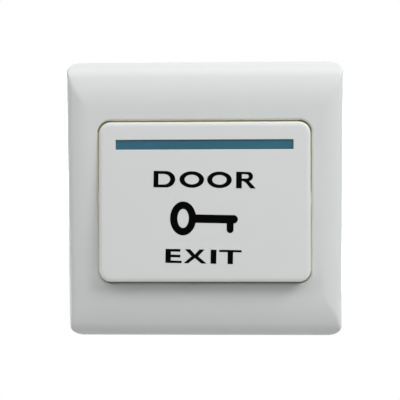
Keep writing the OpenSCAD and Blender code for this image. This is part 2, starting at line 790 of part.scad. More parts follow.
module return_spring() {
    last_ring = spring_turns * turn_rings;
    points = [
        for (i = [0:last_ring], k = [0:wire_sides - 1]) wire_point(i / turn_rings, 360 * k / wire_sides)
    ];
    walls = [
        for (i = [0:last_ring - 1], k = [0:wire_sides - 1])
            let (a = i * wire_sides + k, b = i * wire_sides + (k + 1) % wire_sides)
                each [[a, b, b + wire_sides], [a, b + wire_sides, a + wire_sides]]
    ];
    first_end = [for (k = [wire_sides - 1:-1:0]) k];
    last_end = [for (k = [0:wire_sides - 1]) last_ring * wire_sides + k];
    color(steel) stand() translate([0, plunger_y, 0])
        polyhedron(points, concat(walls, [first_end], [last_end]), convexity = 20);
}

// Terminals

module terminal_strip(side) {
    color(brass) stand() translate([0, plunger_y, 0]) mirror([side < 0 ? 1 : 0, 0, 0]) {
        translate([0, 0, terminal_bottom]) linear_extrude(terminal_t) difference() {
            translate([terminal_in_x, -terminal_w / 2])
                square([terminal_end_x - terminal_in_x, terminal_w]);
            translate([contact_x, 0]) circle(contact_shank_r + seat_gap);
            translate([terminal_x, 0]) circle(terminal_screw_r + seat_gap);
        }
        translate([terminal_end_x - terminal_t, -terminal_w / 2, terminal_bottom])
            cube([terminal_t, terminal_w, terminal_t + terminal_lip]);
    }
}

module terminal_nut(side) {
    color(steel) stand() translate([side * terminal_x, plunger_y, terminal_top]) difference() {
        bar(nut_w, nut_w, 0, nut_t);
        translate([0, 0, -bite]) cylinder(r = terminal_screw_r + seat_gap, h = nut_t + 2 * bite);
    }
}

module clamp_washer(side) {
    color(steel) stand() translate([side * terminal_x, plunger_y, washer_bottom]) difference() {
        cylinder(r = washer_r, h = washer_t);
        translate([0, 0, -bite]) cylinder(r = terminal_screw_r + seat_gap, h = washer_t + 2 * bite);
    }
}

// A pan head screw with a cross recess, head towards -z and its seat at z = 0
module pan_screw(thread_r, thread_l, head_r, head_h, cross_l, cross_w, cross_depth) {
    crown_r = 2 * head_r;
    difference() {
        union() {
            cylinder(r = thread_r, h = thread_l);
            rotate_extrude() intersection() {
                translate([0, -head_h]) square([head_r, head_h]);
                translate([0, crown_r - head_h]) circle(crown_r);
            }
        }
        for (turn = [0, 90]) rotate([0, 0, turn])
            bar(cross_l, cross_w, -head_h - bite, -head_h + cross_depth);
    }
}

module terminal_screw(side) {
    color(silver) stand() translate([side * terminal_x, plunger_y, washer_bottom])
        pan_screw(terminal_screw_r, washer_t + terminal_t + nut_t + terminal_screw_past,
            terminal_head_r, terminal_head_h, terminal_cross_l, terminal_cross_w, terminal_cross_depth);
}

// Rear housing

module terminal_bay() {
    translate([bay_x, plunger_y - bay_half, housing_back - bite])
        cube([housing_w, 2 * bay_half, terminal_bottom - housing_back + bite]);
}

module rear_housing() {
    color(dark_grey) stand() difference() {
        union() {
            translate([0, plunger_y, 0])
                slab(housing_w, housing_h, housing_corner_r / 2, housing_back, housing_seat_z);
            translate([0, plunger_y, 0]) slab(housing_w, housing_flange_h, housing_corner_r,
                housing_seat_z - housing_flange_t, housing_seat_z);
        }
        translate([0, plunger_y, 0]) bar(2 * chamber_x, chamber_w, terminal_bottom, housing_seat_z + bite);
        difference() {
            translate([0, plunger_y, spring_seat])
                cylinder(r = well_half, h = housing_seat_z - spring_seat + bite);
            translate([0, plunger_y, spring_seat - bite])
                cylinder(r = spring_post_r, h = spring_post_h + bite);
        }
        both_sides() terminal_bay();
        at_housing_screws() translate([0, 0, -housing_depth])
            cylinder(r = housing_screw_r + screw_hole_gap, h = 2 * housing_depth);
    }
}

module housing_screws() {
    color(steel) stand() at_housing_screws() translate([0, 0, housing_seat_z - housing_flange_t])
        pan_screw(housing_screw_r, housing_screw_l, housing_head_r, housing_head_h,
            housing_cross_l, housing_cross_w, housing_cross_depth);
}

front_frame();
base_plate();
push_plate();
indicator_strip();
plunger();
return_spring();
contact_bridge();
bridge_retainer();
bridge_contact(-1);  // bridge_contact_left
bridge_contact(1);  // bridge_contact_right
fixed_contact(-1);  // fixed_contact_com
fixed_contact(1);  // fixed_contact_no
terminal_strip(-1);  // terminal_strip_com
terminal_strip(1);  // terminal_strip_no
terminal_nut(-1);  // terminal_nut_com
terminal_nut(1);  // terminal_nut_no
clamp_washer(-1);  // clamp_washer_com
clamp_washer(1);  // clamp_washer_no
terminal_screw(-1);  // terminal_screw_com
terminal_screw(1);  // terminal_screw_no
rear_housing();
housing_screws();
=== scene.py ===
# Door exit button: the finished surfaces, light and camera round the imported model.
# Pieces are drawn lying on their back in millimetres, as the part is: x to the right, y up the
# wall, z out of the wall, with the wall plane at z = 0. They are stood upright in metres last.
import json
import math
from functools import partial, reduce
from types import SimpleNamespace

import bmesh
import bpy
from mathutils import Matrix, Vector

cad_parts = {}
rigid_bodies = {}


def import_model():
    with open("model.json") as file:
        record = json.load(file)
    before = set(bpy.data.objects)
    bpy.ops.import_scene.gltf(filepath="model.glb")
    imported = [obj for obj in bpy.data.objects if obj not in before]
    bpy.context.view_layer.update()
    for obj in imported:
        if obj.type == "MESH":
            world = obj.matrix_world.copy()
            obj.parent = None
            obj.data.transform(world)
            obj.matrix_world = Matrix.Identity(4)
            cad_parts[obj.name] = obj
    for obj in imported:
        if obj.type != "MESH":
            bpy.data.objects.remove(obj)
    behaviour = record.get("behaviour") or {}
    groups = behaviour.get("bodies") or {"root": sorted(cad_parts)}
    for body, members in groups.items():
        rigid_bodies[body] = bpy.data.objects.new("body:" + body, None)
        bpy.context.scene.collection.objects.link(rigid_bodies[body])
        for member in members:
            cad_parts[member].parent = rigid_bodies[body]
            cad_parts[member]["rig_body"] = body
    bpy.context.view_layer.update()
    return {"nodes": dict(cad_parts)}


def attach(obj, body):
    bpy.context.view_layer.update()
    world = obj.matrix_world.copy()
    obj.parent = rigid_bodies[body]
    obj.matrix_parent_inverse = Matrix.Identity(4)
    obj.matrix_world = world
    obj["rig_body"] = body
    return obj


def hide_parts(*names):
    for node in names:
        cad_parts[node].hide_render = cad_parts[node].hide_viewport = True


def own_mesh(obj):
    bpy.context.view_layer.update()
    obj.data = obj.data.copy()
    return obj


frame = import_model()
nodes = frame["nodes"]

MM = 0.001
STAND = Matrix.Scale(MM, 4) @ Matrix.Rotation(math.radians(90), 4, "X")
# Overlap of shapes that are one moulding, and of a cut past its face
BITE = 0.5
# Gap between pieces that are seated on each other
SEAT_GAP = 0.05
# Width under which a face that a cut leaves is merged away
SLIVER = 0.002
# Steps in the quarter turn of a corner that shows
CORNER_STEPS = 16

# Front frame
PLATE_HALF = 43.0
PLATE_CORNER_R = 4.3
CROWN_Z = 9.5
FRAME_WALL = 2.0
LAND_W = 3.0
TOP_BAND = {"edge_z": 4.9, "shoulder_w": 4.7, "crown_r": 38.0}
SIDE_BAND = {"edge_z": 6.3, "shoulder_w": 2.4, "crown_r": 18.0}
OUTER_EDGE_R = 0.35
MITRE_POWER = 5
APERTURE_EDGE_R = 0.6
COLLAR_WALL = 1.6
COLLAR_Z = 4.6
WEB_T = 1.2
WEB_Z = 5.0
WEB_X = 24.0
WEB_Y = 15.0
BEAD_L = 14.0
BEAD_R = 0.7
BEAD_Z = 1.9
BEAD_OFFSET = 22.0
PRY_SLOT_W = 12.0
PRY_SLOT_H = 1.4

# Push plate, as it stands when it is pushed in
PUSH_W = 65.1
PUSH_H = 49.2
PUSH_CORNER_R = 3.6
# The plate's front edge: a gentle curve from the flat face, then a tight one
PUSH_EDGE_R = 0.6
PUSH_EASE_R = 4.0
PUSH_EASE_ANGLE = math.radians(17)
PUSH_FACE_T = 2.2
PUSH_FRONT_Z = 10.2
PUSH_SKIRT_Z = 3.4
PUSH_SKIRT_T = 1.5
PUSH_DROP = 0.45
PRESS_ANGLE = math.radians(4.5)
PUSH_TOP = PUSH_H / 2 - PUSH_DROP
PUSH_BOTTOM = -PUSH_H / 2 - PUSH_DROP
PUSH_UNDER_Z = PUSH_FRONT_Z - PUSH_FACE_T
HINGE_Y = PUSH_TOP - 5.15
HINGE_Z = 5.5
SIDE_GAP = 0.45
TOP_GAP = 0.45
BOTTOM_GAP = 0.65

# Indicator strip
STRIP_W = 54.5
STRIP_H = 2.9
STRIP_Y = PUSH_TOP - 7.0
STRIP_RECESS = 0.4
STRIP_FLANGE_W = 51.0
STRIP_FLANGE_H = 5.0
STRIP_FLANGE_T = 0.8

# Plunger, spring and contacts
LEVER_ARM = 23.5
PLUNGER_Y = HINGE_Y - LEVER_ARM
PLUNGER_TRAVEL = LEVER_ARM * PRESS_ANGLE
RETAINER_Z = -1.8
WIRE_R = 0.25
SPRING_R = 2.15
SPRING_TURNS = 8
SPRING_SEAT_Z = -11.6
BRIDGE_CONTACT_Z = -1.75
CONTACT_STOP_GAP = 0.05
CONTACT_T = 0.8
TERMINAL_T = 0.8
WASHER_T = 0.8

# Screws: places on the wall plane, and the height at which each head is seated
TERMINAL_X = 16.8
TERMINAL_TOP_Z = BRIDGE_CONTACT_Z - PLUNGER_TRAVEL - CONTACT_STOP_GAP - CONTACT_T
WASHER_Z = TERMINAL_TOP_Z - TERMINAL_T - WASHER_T
HOUSING_SCREW_X = 19.5
HOUSING_SCREW_Y = 13.0
HOUSING_SCREW_Z = -1.7

# From the push plate's place when it is pushed in to its place at rest
TO_REST = (
    Matrix.Translation((0, HINGE_Y, HINGE_Z))
    @ Matrix.Rotation(-PRESS_ANGLE, 4, "X")
    @ Matrix.Translation((0, -HINGE_Y, -HINGE_Z))
)
FRONT_TOP_EDGE = TO_REST @ Vector((0, PUSH_TOP, PUSH_FRONT_Z))
APERTURE_W = PUSH_W + 2 * SIDE_GAP
APERTURE_TOP = FRONT_TOP_EDGE.y + TOP_GAP
APERTURE_BOTTOM = PUSH_BOTTOM - BOTTOM_GAP
APERTURE_H = APERTURE_TOP - APERTURE_BOTTOM
APERTURE_Y = (APERTURE_TOP + APERTURE_BOTTOM) / 2
APERTURE_R = PUSH_CORNER_R + SIDE_GAP
LAND_X = APERTURE_W / 2 + LAND_W
LAND_Y = max(APERTURE_TOP, -APERTURE_BOTTOM) + LAND_W


# Mesh helpers

def add_object(name, data):
    """A new object in the scene."""
    made = bpy.data.objects.new(name, data)
    bpy.context.scene.collection.objects.link(made)
    return made


def as_object(bm, name):
    """A mesh object made from a closed bmesh, with its faces turned outwards."""
    bmesh.ops.remove_doubles(bm, verts=bm.verts, dist=1e-5)
    bmesh.ops.recalc_face_normals(bm, faces=bm.faces)
    mesh = bpy.data.meshes.new(name)
    bm.to_mesh(mesh)
    bm.free()
    return add_object(name, mesh)


def evaluated_mesh(source):
    """A plain mesh with the shape that an object has in the end."""
    bpy.context.view_layer.update()
    graph = bpy.context.evaluated_depsgraph_get()
    return bpy.data.meshes.new_from_object(source.evaluated_get(graph), depsgraph=graph)


def settle(piece):
    """Turns a piece with its modifiers into a plain mesh."""
    mesh = evaluated_mesh(piece)
    mesh.name = piece.name
    piece.modifiers.clear()
    piece.data = mesh
    return piece


def combine(piece, tools, operation):
    """Cuts the tools out of a piece, or adds them to it, and deletes the tools."""
    for tool in tools:
        modifier = piece.modifiers.new(operation, "BOOLEAN")
        modifier.operation = operation
        modifier.solver = "EXACT"
        modifier.object = tool
    settle(piece)
    for tool in tools:
        bpy.data.objects.remove(tool)
    bm = bmesh.new()
    bm.from_mesh(piece.data)
    bmesh.ops.remove_doubles(bm, verts=bm.verts, dist=SLIVER)
    bmesh.ops.dissolve_degenerate(bm, edges=bm.edges, dist=SLIVER)
    bm.to_mesh(piece.data)
    bm.free()
    return piece


def shaded(piece, sharp_degrees=35):
    piece.data.shade_smooth()
    piece.data.set_sharp_from_angle(angle=math.radians(sharp_degrees))
    return piece


def rounded_outline(w, h, r, cx=0.0, cy=0.0, steps=12):
    """Points round a rectangle with rounded corners, counter-clockwise from its right side."""
    points = []
    for corner, (sx, sy) in enumerate([(1, 1), (-1, 1), (-1, -1), (1, -1)]):
        x, y = cx + sx * (w / 2 - r), cy + sy * (h / 2 - r)
        angles = [math.radians(90) * (corner + i / steps) for i in range(steps + 1)]
        points += [(x + r * math.cos(a), y + r * math.sin(a)) for a in angles]
    return points


def ring(bm, points, z):
    return [bm.verts.new((x, y, z)) for x, y in points]


def join_rings(bm, loops):
    for lower, upper in zip(loops, loops[1:]):
        for i in range(len(lower)):
            k = (i + 1) % len(lower)
            bm.faces.new((lower[i], lower[k], upper[k], upper[i]))


def solid(bm, loops, name):
    """A solid through rings of points, joined one to the next and closed at both ends."""
    join_rings(bm, loops)
    bm.faces.new(loops[0])
    bm.faces.new(loops[-1])
    return as_object(bm, name)


def loft(name, rings, cx=0.0, cy=0.0, steps=12):
    """A closed solid through rounded rectangles. Each ring is (width, height, corner radius, z)."""
    bm = bmesh.new()
    loops = [ring(bm, rounded_outline(w, h, r, cx, cy, steps), z) for w, h, r, z in rings]
    return solid(bm, loops, name)


def slab(w, h, r, z0, z1, cx=0.0, cy=0.0, steps=12):
    return loft("slab", [(w, h, r, z0), (w, h, r, z1)], cx, cy, steps)


def box(w, h, z0, z1, cx=0.0, cy=0.0):
    x0, x1, y0, y1 = cx - w / 2, cx + w / 2, cy - h / 2, cy + h / 2
    bm = bmesh.new()
    corners = [(x0, y0), (x1, y0), (x1, y1), (x0, y1)]
    return solid(bm, [ring(bm, corners, z) for z in (z0, z1)], "box")


def rod(radius, start, end, sides=48):
    """A cylinder between two points."""
    start, end = Vector(start), Vector(end)
    bm = bmesh.new()
    bmesh.ops.create_cone(
        bm, cap_ends=True, segments=sides, radius1=radius, radius2=radius, depth=(end - start).length
    )
    turn = (end - start).to_track_quat("Z", "Y").to_matrix().to_4x4()
    bmesh.ops.transform(bm, matrix=Matrix.Translation((start + end) / 2) @ turn, verts=bm.verts)
    return as_object(bm, "rod")


def dress(piece, body, material, replaced):
    """Gives a piece its material and lets it ride on its body."""
    piece.data.materials.clear()
    piece.data.materials.append(material)
    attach(piece, body)
    if replaced:
        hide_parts(*replaced)
    return piece


def finish(piece, name, body, material, replaced=(), at_rest=False):
    """Stands a piece upright in metres and dresses it."""
    piece.name = piece.data.name = name
    piece.data.transform(STAND @ TO_REST if at_rest else STAND)
    return dress(piece, body, material, replaced)


# Front frame

def band_arcs(band, land, inset):
    """The crown and shoulder arcs of a band's section, or of the surface parallel to it by inset."""
    slope = math.asin((PLATE_HALF - band["shoulder_w"] - land) / band["crown_r"])
    normal = Vector((math.sin(slope), math.cos(slope)))
    join = Vector((land, CROWN_Z - band["crown_r"])) + band["crown_r"] * normal
    span = Vector((PLATE_HALF, band["edge_z"])) - join
    radius = -span.dot(span) / (2 * span.dot(normal))
    centre = join - radius * normal
    return SimpleNamespace(
        land=land, crown_r=band["crown_r"] - inset, join=join.x - inset * normal.x,
        centre=centre, shoulder_r=radius - inset, top=CROWN_Z - inset
    )


def band_depth(arcs, u):
    """How far the band's surface lies below its top, at the distance u from the middle."""
    u = abs(u)
    if u <= arcs.land:
        return 0.0
    if u <= arcs.join:
        return arcs.crown_r - math.sqrt(arcs.crown_r ** 2 - (u - arcs.land) ** 2)
    room = max(arcs.shoulder_r ** 2 - (u - arcs.centre.x) ** 2, 0.0)
    return arcs.top - arcs.centre.y - math.sqrt(room)


def band_reach(arcs, depth):
    """The distance from the middle at which the band's surface has this depth."""
    if depth <= band_depth(arcs, arcs.join):
        return arcs.land + math.sqrt(arcs.crown_r ** 2 - (arcs.crown_r - depth) ** 2)
    rise = arcs.top - depth - arcs.centre.y
    return arcs.centre.x + math.sqrt(arcs.shoulder_r ** 2 - rise ** 2)


def crowned_block():
    """The frame's outer form down to the wall plane, open over its flat middle.

    The top and side bands meet along mitre lines. The power that joins their depths sets how
    sharp the line is: the higher, the sharper.
    """
    half, corner_r, edge_r = PLATE_HALF, PLATE_CORNER_R, OUTER_EDGE_R
    corner = half - corner_r
    across = band_arcs(SIDE_BAND, LAND_X, 0.0)
    along = band_arcs(TOP_BAND, LAND_Y, 0.0)

    def height(x, y):
        dx, dy = band_depth(across, x), band_depth(along, y)
        depth = max(dx, dy)
        if min(dx, dy) > 0:
            depth *= (1 + (min(dx, dy) / depth) ** MITRE_POWER) ** (1 / MITRE_POWER)
        past = Vector((max(x - corner, 0), max(y - corner, 0))).length
        edge = corner_r - past if min(x, y) > corner else min(half - x, half - y)
        edge = min(max(edge, 0.0), edge_r)
        rounding = edge_r - math.sqrt(edge_r ** 2 - (edge_r - edge) ** 2)
        return CROWN_Z - depth - rounding

    # Depth at which the mitre line runs into the rounded corner, found by halving
    low, high = 0.0, min(band_depth(across, half), band_depth(along, half))
    for _ in range(50):
        middle = (low + high) / 2
        x, y = band_reach(across, middle), band_reach(along, middle)
        outside = min(x, y) > corner and math.hypot(x - corner, y - corner) > corner_r
        low, high = (low, middle) if outside else (middle, high)
    meet_depth = low
    meet = (band_reach(across, meet_depth), band_reach(along, meet_depth))
    meet_angle = math.atan2(meet[1] - corner, meet[0] - corner)

    mitre_rows, corner_rows = 44, 14
    depths = [meet_depth * (i / mitre_rows) ** 2 for i in range(mitre_rows + 1)]
    mitre = [(band_reach(across, depth), band_reach(along, depth)) for depth in depths]

    def corner_points(last_angle):
        turn = last_angle - meet_angle
        angles = [meet_angle + turn * i / corner_rows for i in range(1, corner_rows + 1)]
        return [(corner + corner_r * math.cos(a), corner + corner_r * math.sin(a)) for a in angles]

    # Even steps from the middle to the corner's zone, then closer and closer ones
    coarse, fine, crowding, zone_w = 3, 40, 1.6, 9

    def stations(end, zone):
        steps = [zone * i / coarse for i in range(coarse)]
        shares = [1 - (1 - i / fine) ** crowding for i in range(fine + 1)]
        return steps + [zone + (end - zone) * share for share in shares]

    bm = bmesh.new()
    top_ends = mitre + corner_points(math.pi / 2)
    side_ends = mitre + corner_points(0.0)
    top_rows = [[(x, y) for x in stations(end, LAND_X - zone_w)] for end, y in top_ends]
    side_rows = [[(x, y) for y in stations(end, LAND_Y - zone_w)] for x, end in side_ends]
    for sx, sy in ((1, 1), (1, -1), (-1, 1), (-1, -1)):
        for rows in (top_rows, side_rows):
            grid = [[bm.verts.new((sx * x, sy * y, height(x, y))) for x, y in row] for row in rows]
            for a, b in zip(grid, grid[1:]):
                for i in range(len(a) - 1):
                    bm.faces.new((a[i], a[i + 1], b[i + 1], b[i]))
    bmesh.ops.remove_doubles(bm, verts=bm.verts, dist=1e-5)
    bmesh.ops.recalc_face_normals(bm, faces=bm.faces)

    def past_land(v):
        return max(abs(v.co.x) - LAND_X, abs(v.co.y) - LAND_Y)

    # The outer wall, with a narrow row under the rounded edge that keeps the wall flat
    near, narrow_row = 0.1, 0.15
    rim = [e for e in bm.edges if e.is_boundary and past_land(e.verts[0]) > near]
    for drop in (narrow_row, None):
        made = bmesh.ops.extrude_edge_only(bm, edges=rim)["geom"]
        for v in [g for g in made if isinstance(g, bmesh.types.BMVert)]:
            v.co.z = 0.0 if drop is None else v.co.z - drop
        rim = [g for g in made if isinstance(g, bmesh.types.BMEdge)]
    return bm


def border(bm, z):
    """The open edges that lie at the height z."""
    return [e for e in bm.edges if e.is_boundary and all(abs(v.co.z - z) < 1e-4 for v in e.verts)]


def edge_profile(top_z, edge_r, keep_flat, ease_r=0.0, ease_angle=0.0, turns=8):
    """Insets and heights of a front edge's section, from its side wall over to its flat face.

    A tight arc of radius edge_r starts at the wall; the gentle one of ease_r ends in the face.
    keep_flat is the width of the rows beside the arcs that keep the wall and the face flat.
    """
    ease_drop = ease_r * (1 - math.cos(ease_angle))
    tight_z = top_z - ease_drop - edge_r * math.cos(ease_angle)
    ease_end = edge_r + (ease_r - edge_r) * math.sin(ease_angle)
    profile = [(0.0, tight_z - keep_flat)]
    for i in range(turns + 1):
        angle = (math.radians(90) - ease_angle) * i / turns
        profile.append((edge_r * (1 - math.cos(angle)), tight_z + edge_r * math.sin(angle)))
    for i in range(1, turns + 1 if ease_r else 1):
        angle = ease_angle * (1 - i / turns)
        profile.append((ease_end - ease_r * math.sin(angle), top_z - ease_r * (1 - math.cos(angle))))
    return [*profile, (profile[-1][0] + keep_flat, top_z)]


def edge_rings(w, h, corner_r, profile):
    """Rings of a rounded block along its edge's section, for loft."""
    return [(w - 2 * inset, h - 2 * inset, corner_r - inset, z) for inset, z in profile]


def frame_outside():
    """The outside of the frame with its aperture, closed at the back."""
    bm = crowned_block()
    loops, keep_flat = [], 0.12
    for grow, z in reversed([(0.0, 0.0), *edge_profile(CROWN_Z, APERTURE_EDGE_R, keep_flat)]):
        size = (APERTURE_W + 2 * grow, APERTURE_H + 2 * grow, APERTURE_R + grow)
        loops.append(ring(bm, rounded_outline(*size, 0, APERTURE_Y, CORNER_STEPS), z))
    join_rings(bm, loops)
    for z in (CROWN_Z, 0.0):
        bmesh.ops.triangle_fill(bm, edges=border(bm, z), use_beauty=True)
    return as_object(bm, "outside")


def frame_inside():
    """The room behind the bands, with the collar, webs and beads left standing in it."""
    wall, corner_r = PLATE_HALF - FRAME_WALL, PLATE_CORNER_R - FRAME_WALL
    across = band_arcs(SIDE_BAND, LAND_X, FRAME_WALL)
    along = band_arcs(TOP_BAND, LAND_Y, FRAME_WALL)
    side_depth, deepest = band_depth(across, wall), band_depth(along, wall)
    rows, crowding, least_corner = 20, 1.5, 0.1
    rings = []
    for i in range(rows + 1):
        share = (i / rows) ** crowding
        depth = deepest * share
        reach_x = band_reach(across, min(depth, side_depth))
        reach_y = band_reach(along, depth)
        rounding = corner_r * max(share, least_corner)
        rings.append((2 * reach_x, 2 * reach_y, rounding, across.top - depth))
    room = loft("inside", [*rings, (2 * wall, 2 * wall, corner_r, -BITE)])
    collar = slab(
        APERTURE_W + 2 * COLLAR_WALL, APERTURE_H + 2 * COLLAR_WALL, APERTURE_R + COLLAR_WALL,
        COLLAR_Z, CROWN_Z, 0, APERTURE_Y, CORNER_STEPS
    )
    webs = [box(WEB_T, 2 * PLATE_HALF, WEB_Z, CROWN_Z, x) for x in (-WEB_X, 0, WEB_X)]
    webs += [box(2 * PLATE_HALF, WEB_T, WEB_Z, CROWN_Z, 0, y) for y in (-WEB_Y, WEB_Y)]
    beads = []
    for side in (-1, 1):
        for middle in (-BEAD_OFFSET, BEAD_OFFSET):
            ends = (middle - BEAD_L / 2, middle + BEAD_L / 2)
            beads.append(rod(BEAD_R, *[(side * wall, y, BEAD_Z) for y in ends]))
            beads.append(rod(BEAD_R, *[(x, side * wall, BEAD_Z) for x in ends]))
    return combine(room, [collar, *webs, *beads], "DIFFERENCE")


def front_frame(material):
    slot_y = -PLATE_HALF + FRAME_WALL / 2
    pry_slot = box(PRY_SLOT_W, FRAME_WALL + 2 * BITE, -BITE, PRY_SLOT_H, 0, slot_y)
    piece = combine(frame_outside(), [frame_inside(), pry_slot], "DIFFERENCE")
    finish(shaded(piece), "front_frame_shell", "case", material, ["front_frame"])


# Push plate and indicator strip

def push_plate(material):
    middle = (PUSH_TOP + PUSH_BOTTOM) / 2
    back_edge, keep_flat = 0.15, 0.15
    section = [
        (back_edge, PUSH_SKIRT_Z), (0.0, PUSH_SKIRT_Z + back_edge),
        *edge_profile(PUSH_FRONT_Z, PUSH_EDGE_R, keep_flat, PUSH_EASE_R, PUSH_EASE_ANGLE),
    ]
    rings = edge_rings(PUSH_W, PUSH_H, PUSH_CORNER_R, section)
    piece = loft("push", rings, 0, middle, CORNER_STEPS)
    hollow = slab(
        PUSH_W - 2 * PUSH_SKIRT_T, PUSH_H - 2 * PUSH_SKIRT_T, PUSH_CORNER_R - PUSH_SKIRT_T,
        PUSH_SKIRT_Z - BITE, PUSH_UNDER_Z, 0, middle
    )
    notch_w, notch_h, notch_z = 6.0, 10.8, COLLAR_Z + BITE
    notches = [
        box(notch_w, notch_h, PUSH_SKIRT_Z - BITE, notch_z, side * PUSH_W / 2) for side in (-1, 1)
    ]
    combine(piece, [hollow, *notches], "DIFFERENCE")
    combine(piece, push_plate_inner_parts(), "UNION")
    chamfer, slot_r, steps = 0.12, 0.1, 4
    rings = edge_rings(STRIP_W + 2 * SEAT_GAP, STRIP_H + 2 * SEAT_GAP, slot_r, [
        (0.0, PUSH_UNDER_Z - BITE), (0.0, PUSH_FRONT_Z - chamfer),
        (-chamfer, PUSH_FRONT_Z), (-1.5 * chamfer, PUSH_FRONT_Z + chamfer),
    ])
    combine(piece, [loft("slot", rings, 0, STRIP_Y, steps)], "DIFFERENCE")
    finish(
        shaded(piece), "push_plate_shell", "push_plate", material, ["push_plate"],
        at_rest=True
    )


def push_plate_inner_parts():
    """Ribs, pressing pad, retaining legs and hinge pins behind the push plate's face."""
    rib_w, rib_h, rib_x, cross_w = 1.2, 1.2, 9.4, 40.0
    pad_r, pad_z = 4.0, 6.5
    leg_x, leg_y, leg_w, leg_t = 25.6, -20.0, 3.4, 1.5
    nose_out, nose_h = 0.9, 1.2
    ledge_z, stop_gap = 1.2, 0.3
    pin_r, pin_in_x, flange_room = 1.5, 26.7, 0.8
    rib_top = STRIP_Y - STRIP_FLANGE_H / 2 - flange_room
    rib_low = PUSH_BOTTOM + PUSH_SKIRT_T - BITE
    rib_z = PUSH_UNDER_Z - rib_h
    rib_y = (rib_low + rib_top) / 2
    roof = PUSH_UNDER_Z + BITE
    parts = [box(rib_w, rib_top - rib_low, rib_z, roof, x, rib_y) for x in (-rib_x, rib_x)]
    parts.append(box(cross_w, rib_w, rib_z, roof, 0, PLUNGER_Y))
    parts.append(rod(pad_r, (0, PLUNGER_Y, pad_z), (0, PLUNGER_Y, roof), 64))
    nose_z = ledge_z - stop_gap - (HINGE_Y - leg_y) * math.sin(PRESS_ANGLE)
    back_x, nose_x = leg_x + leg_t, leg_x + leg_t + nose_out
    profile = [
        (leg_x, roof), (leg_x, nose_z - nose_h), (back_x, nose_z - nose_h),
        (nose_x, nose_z - nose_h / 3), (nose_x, nose_z), (back_x, nose_z), (back_x, roof),
    ]
    skirt_x = PUSH_W / 2 - PUSH_SKIRT_T + BITE
    for side in (-1, 1):
        bm = bmesh.new()
        ends = (leg_y - leg_w / 2, leg_y + leg_w / 2)
        loops = [[bm.verts.new((side * x, y, z)) for x, z in profile] for y in ends]
        parts.append(solid(bm, loops, "leg"))
        parts.append(rod(pin_r, *[(side * x, HINGE_Y, HINGE_Z) for x in (pin_in_x, skirt_x)], 64))
    return parts


def indicator_strip(material):
    edge_r, keep_flat, corner_r, flange_r, steps = 0.12, 0.06, 0.25, 0.3, 4
    flange_z = PUSH_UNDER_Z - STRIP_FLANGE_T
    section = [
        (0.0, PUSH_UNDER_Z - STRIP_FLANGE_T / 2),
        *edge_profile(PUSH_FRONT_Z - STRIP_RECESS, edge_r, keep_flat, turns=steps),
    ]
    piece = loft("strip", edge_rings(STRIP_W, STRIP_H, corner_r, section), 0, STRIP_Y, steps)
    flange = slab(
        STRIP_FLANGE_W, STRIP_FLANGE_H, flange_r, flange_z, PUSH_UNDER_Z, 0, STRIP_Y, steps
    )
    combine(piece, [flange], "UNION")
    finish(
        shaded(piece), "indicator_strip_lens", "push_plate", material,
        ["indicator_strip"], at_rest=True
    )


# Printed legend: plain words and a key sign, as thin ink on the push plate's face

def ellipse(cx, cy, w, h, start=0.0, end=360.0, steps=48):
    angles = [math.radians(start + (end - start) * i / steps) for i in range(steps + 1)]
    return [(cx + w / 2 * math.cos(a), cy + h / 2 * math.sin(a)) for a in angles]


def bowl(left, right, low, high, curve_w):
    """A straight left side and a right side that is half an ellipse."""
    arc = ellipse(right - curve_w, (low + high) / 2, 2 * curve_w, high - low, -90, 90, 28)
    return [(left, low), *arc, (left, high)]


def letter_d(x, w, h):
    stem, bar, side, curve_w, hole_curve_w = 1.5, 0.9, 1.55, 2.95, 2.0
    return [bowl(x, x + w, 0, h, curve_w), bowl(x + stem, x + w - side, bar, h - bar, hole_curve_w)]


def letter_o(x, w, h):
    side, bar = 1.56, 1.04
    middle = x + w / 2
    return [ellipse(middle, h / 2, w, h)[:-1], ellipse(middle, h / 2, w - 2 * side, h - 2 * bar)[:-1]]


def letter_r(x, w, h):
    stem, bar, side, hole_curve_w = 1.74, 0.74, 1.3, 0.7
    bowl_right, bowl_w, bowl_h = x + 5.14, 2.7, 2.8
    leg_w, leg_right, leg_left, leg_drop, inner_x, dip = 1.65, x + 3.95, x + 2.95, 0.5, 0.45, 0.02
    waist = h - bowl_h
    # The leg starts where the bowl's last points would be
    outer = ellipse(bowl_right - bowl_w / 2, h - bowl_h / 2, bowl_w, bowl_h, 90, -90, 20)[:-3]
    outline = [
        (x, 0), (x, h), *outer, (leg_right, waist + dip), (x + w, 0), (x + w - leg_w, 0),
        (leg_left, waist - leg_drop), (x + stem + inner_x, waist - dip), (x + stem, waist - dip),
        (x + stem, 0),
    ]
    return [outline, bowl(x + stem, bowl_right - side, waist + bar, h - bar, hole_curve_w)]


def letter_e(x, w, h):
    stem, bar, foot_bar, short = 1.64, 0.8, 0.72, 0.42
    low = (h - bar) / 2
    return [[
        (x, 0), (x + w, 0), (x + w, foot_bar), (x + stem, foot_bar), (x + stem, low),
        (x + w - short, low), (x + w - short, low + bar), (x + stem, low + bar),
        (x + stem, h - bar), (x + w - short, h - bar), (x + w - short, h), (x, h),
    ]]


def letter_x(x, w, h):
    stroke, thin, lean, inset, notch, waist, aside = 1.62, 1.4, 0.35, 0.65, 0.42, 0.98, 0.1
    cross_low, cross_high = h * 0.47, h * 0.53
    middle, right = x + w / 2 - aside, x + w - inset
    return [[
        (x, 0), (x + thin, 0), (middle, cross_low - notch), (x + w - stroke, 0), (x + w, 0),
        (middle + waist, h / 2), (right, h), (right - stroke, h), (middle, cross_high + notch),
        (x + lean + stroke, h), (x + lean, h), (middle - waist, h / 2),
    ]]


def letter_i(x, w, h):
    return [[(x, 0), (x + w, 0), (x + w, h), (x, h)]]


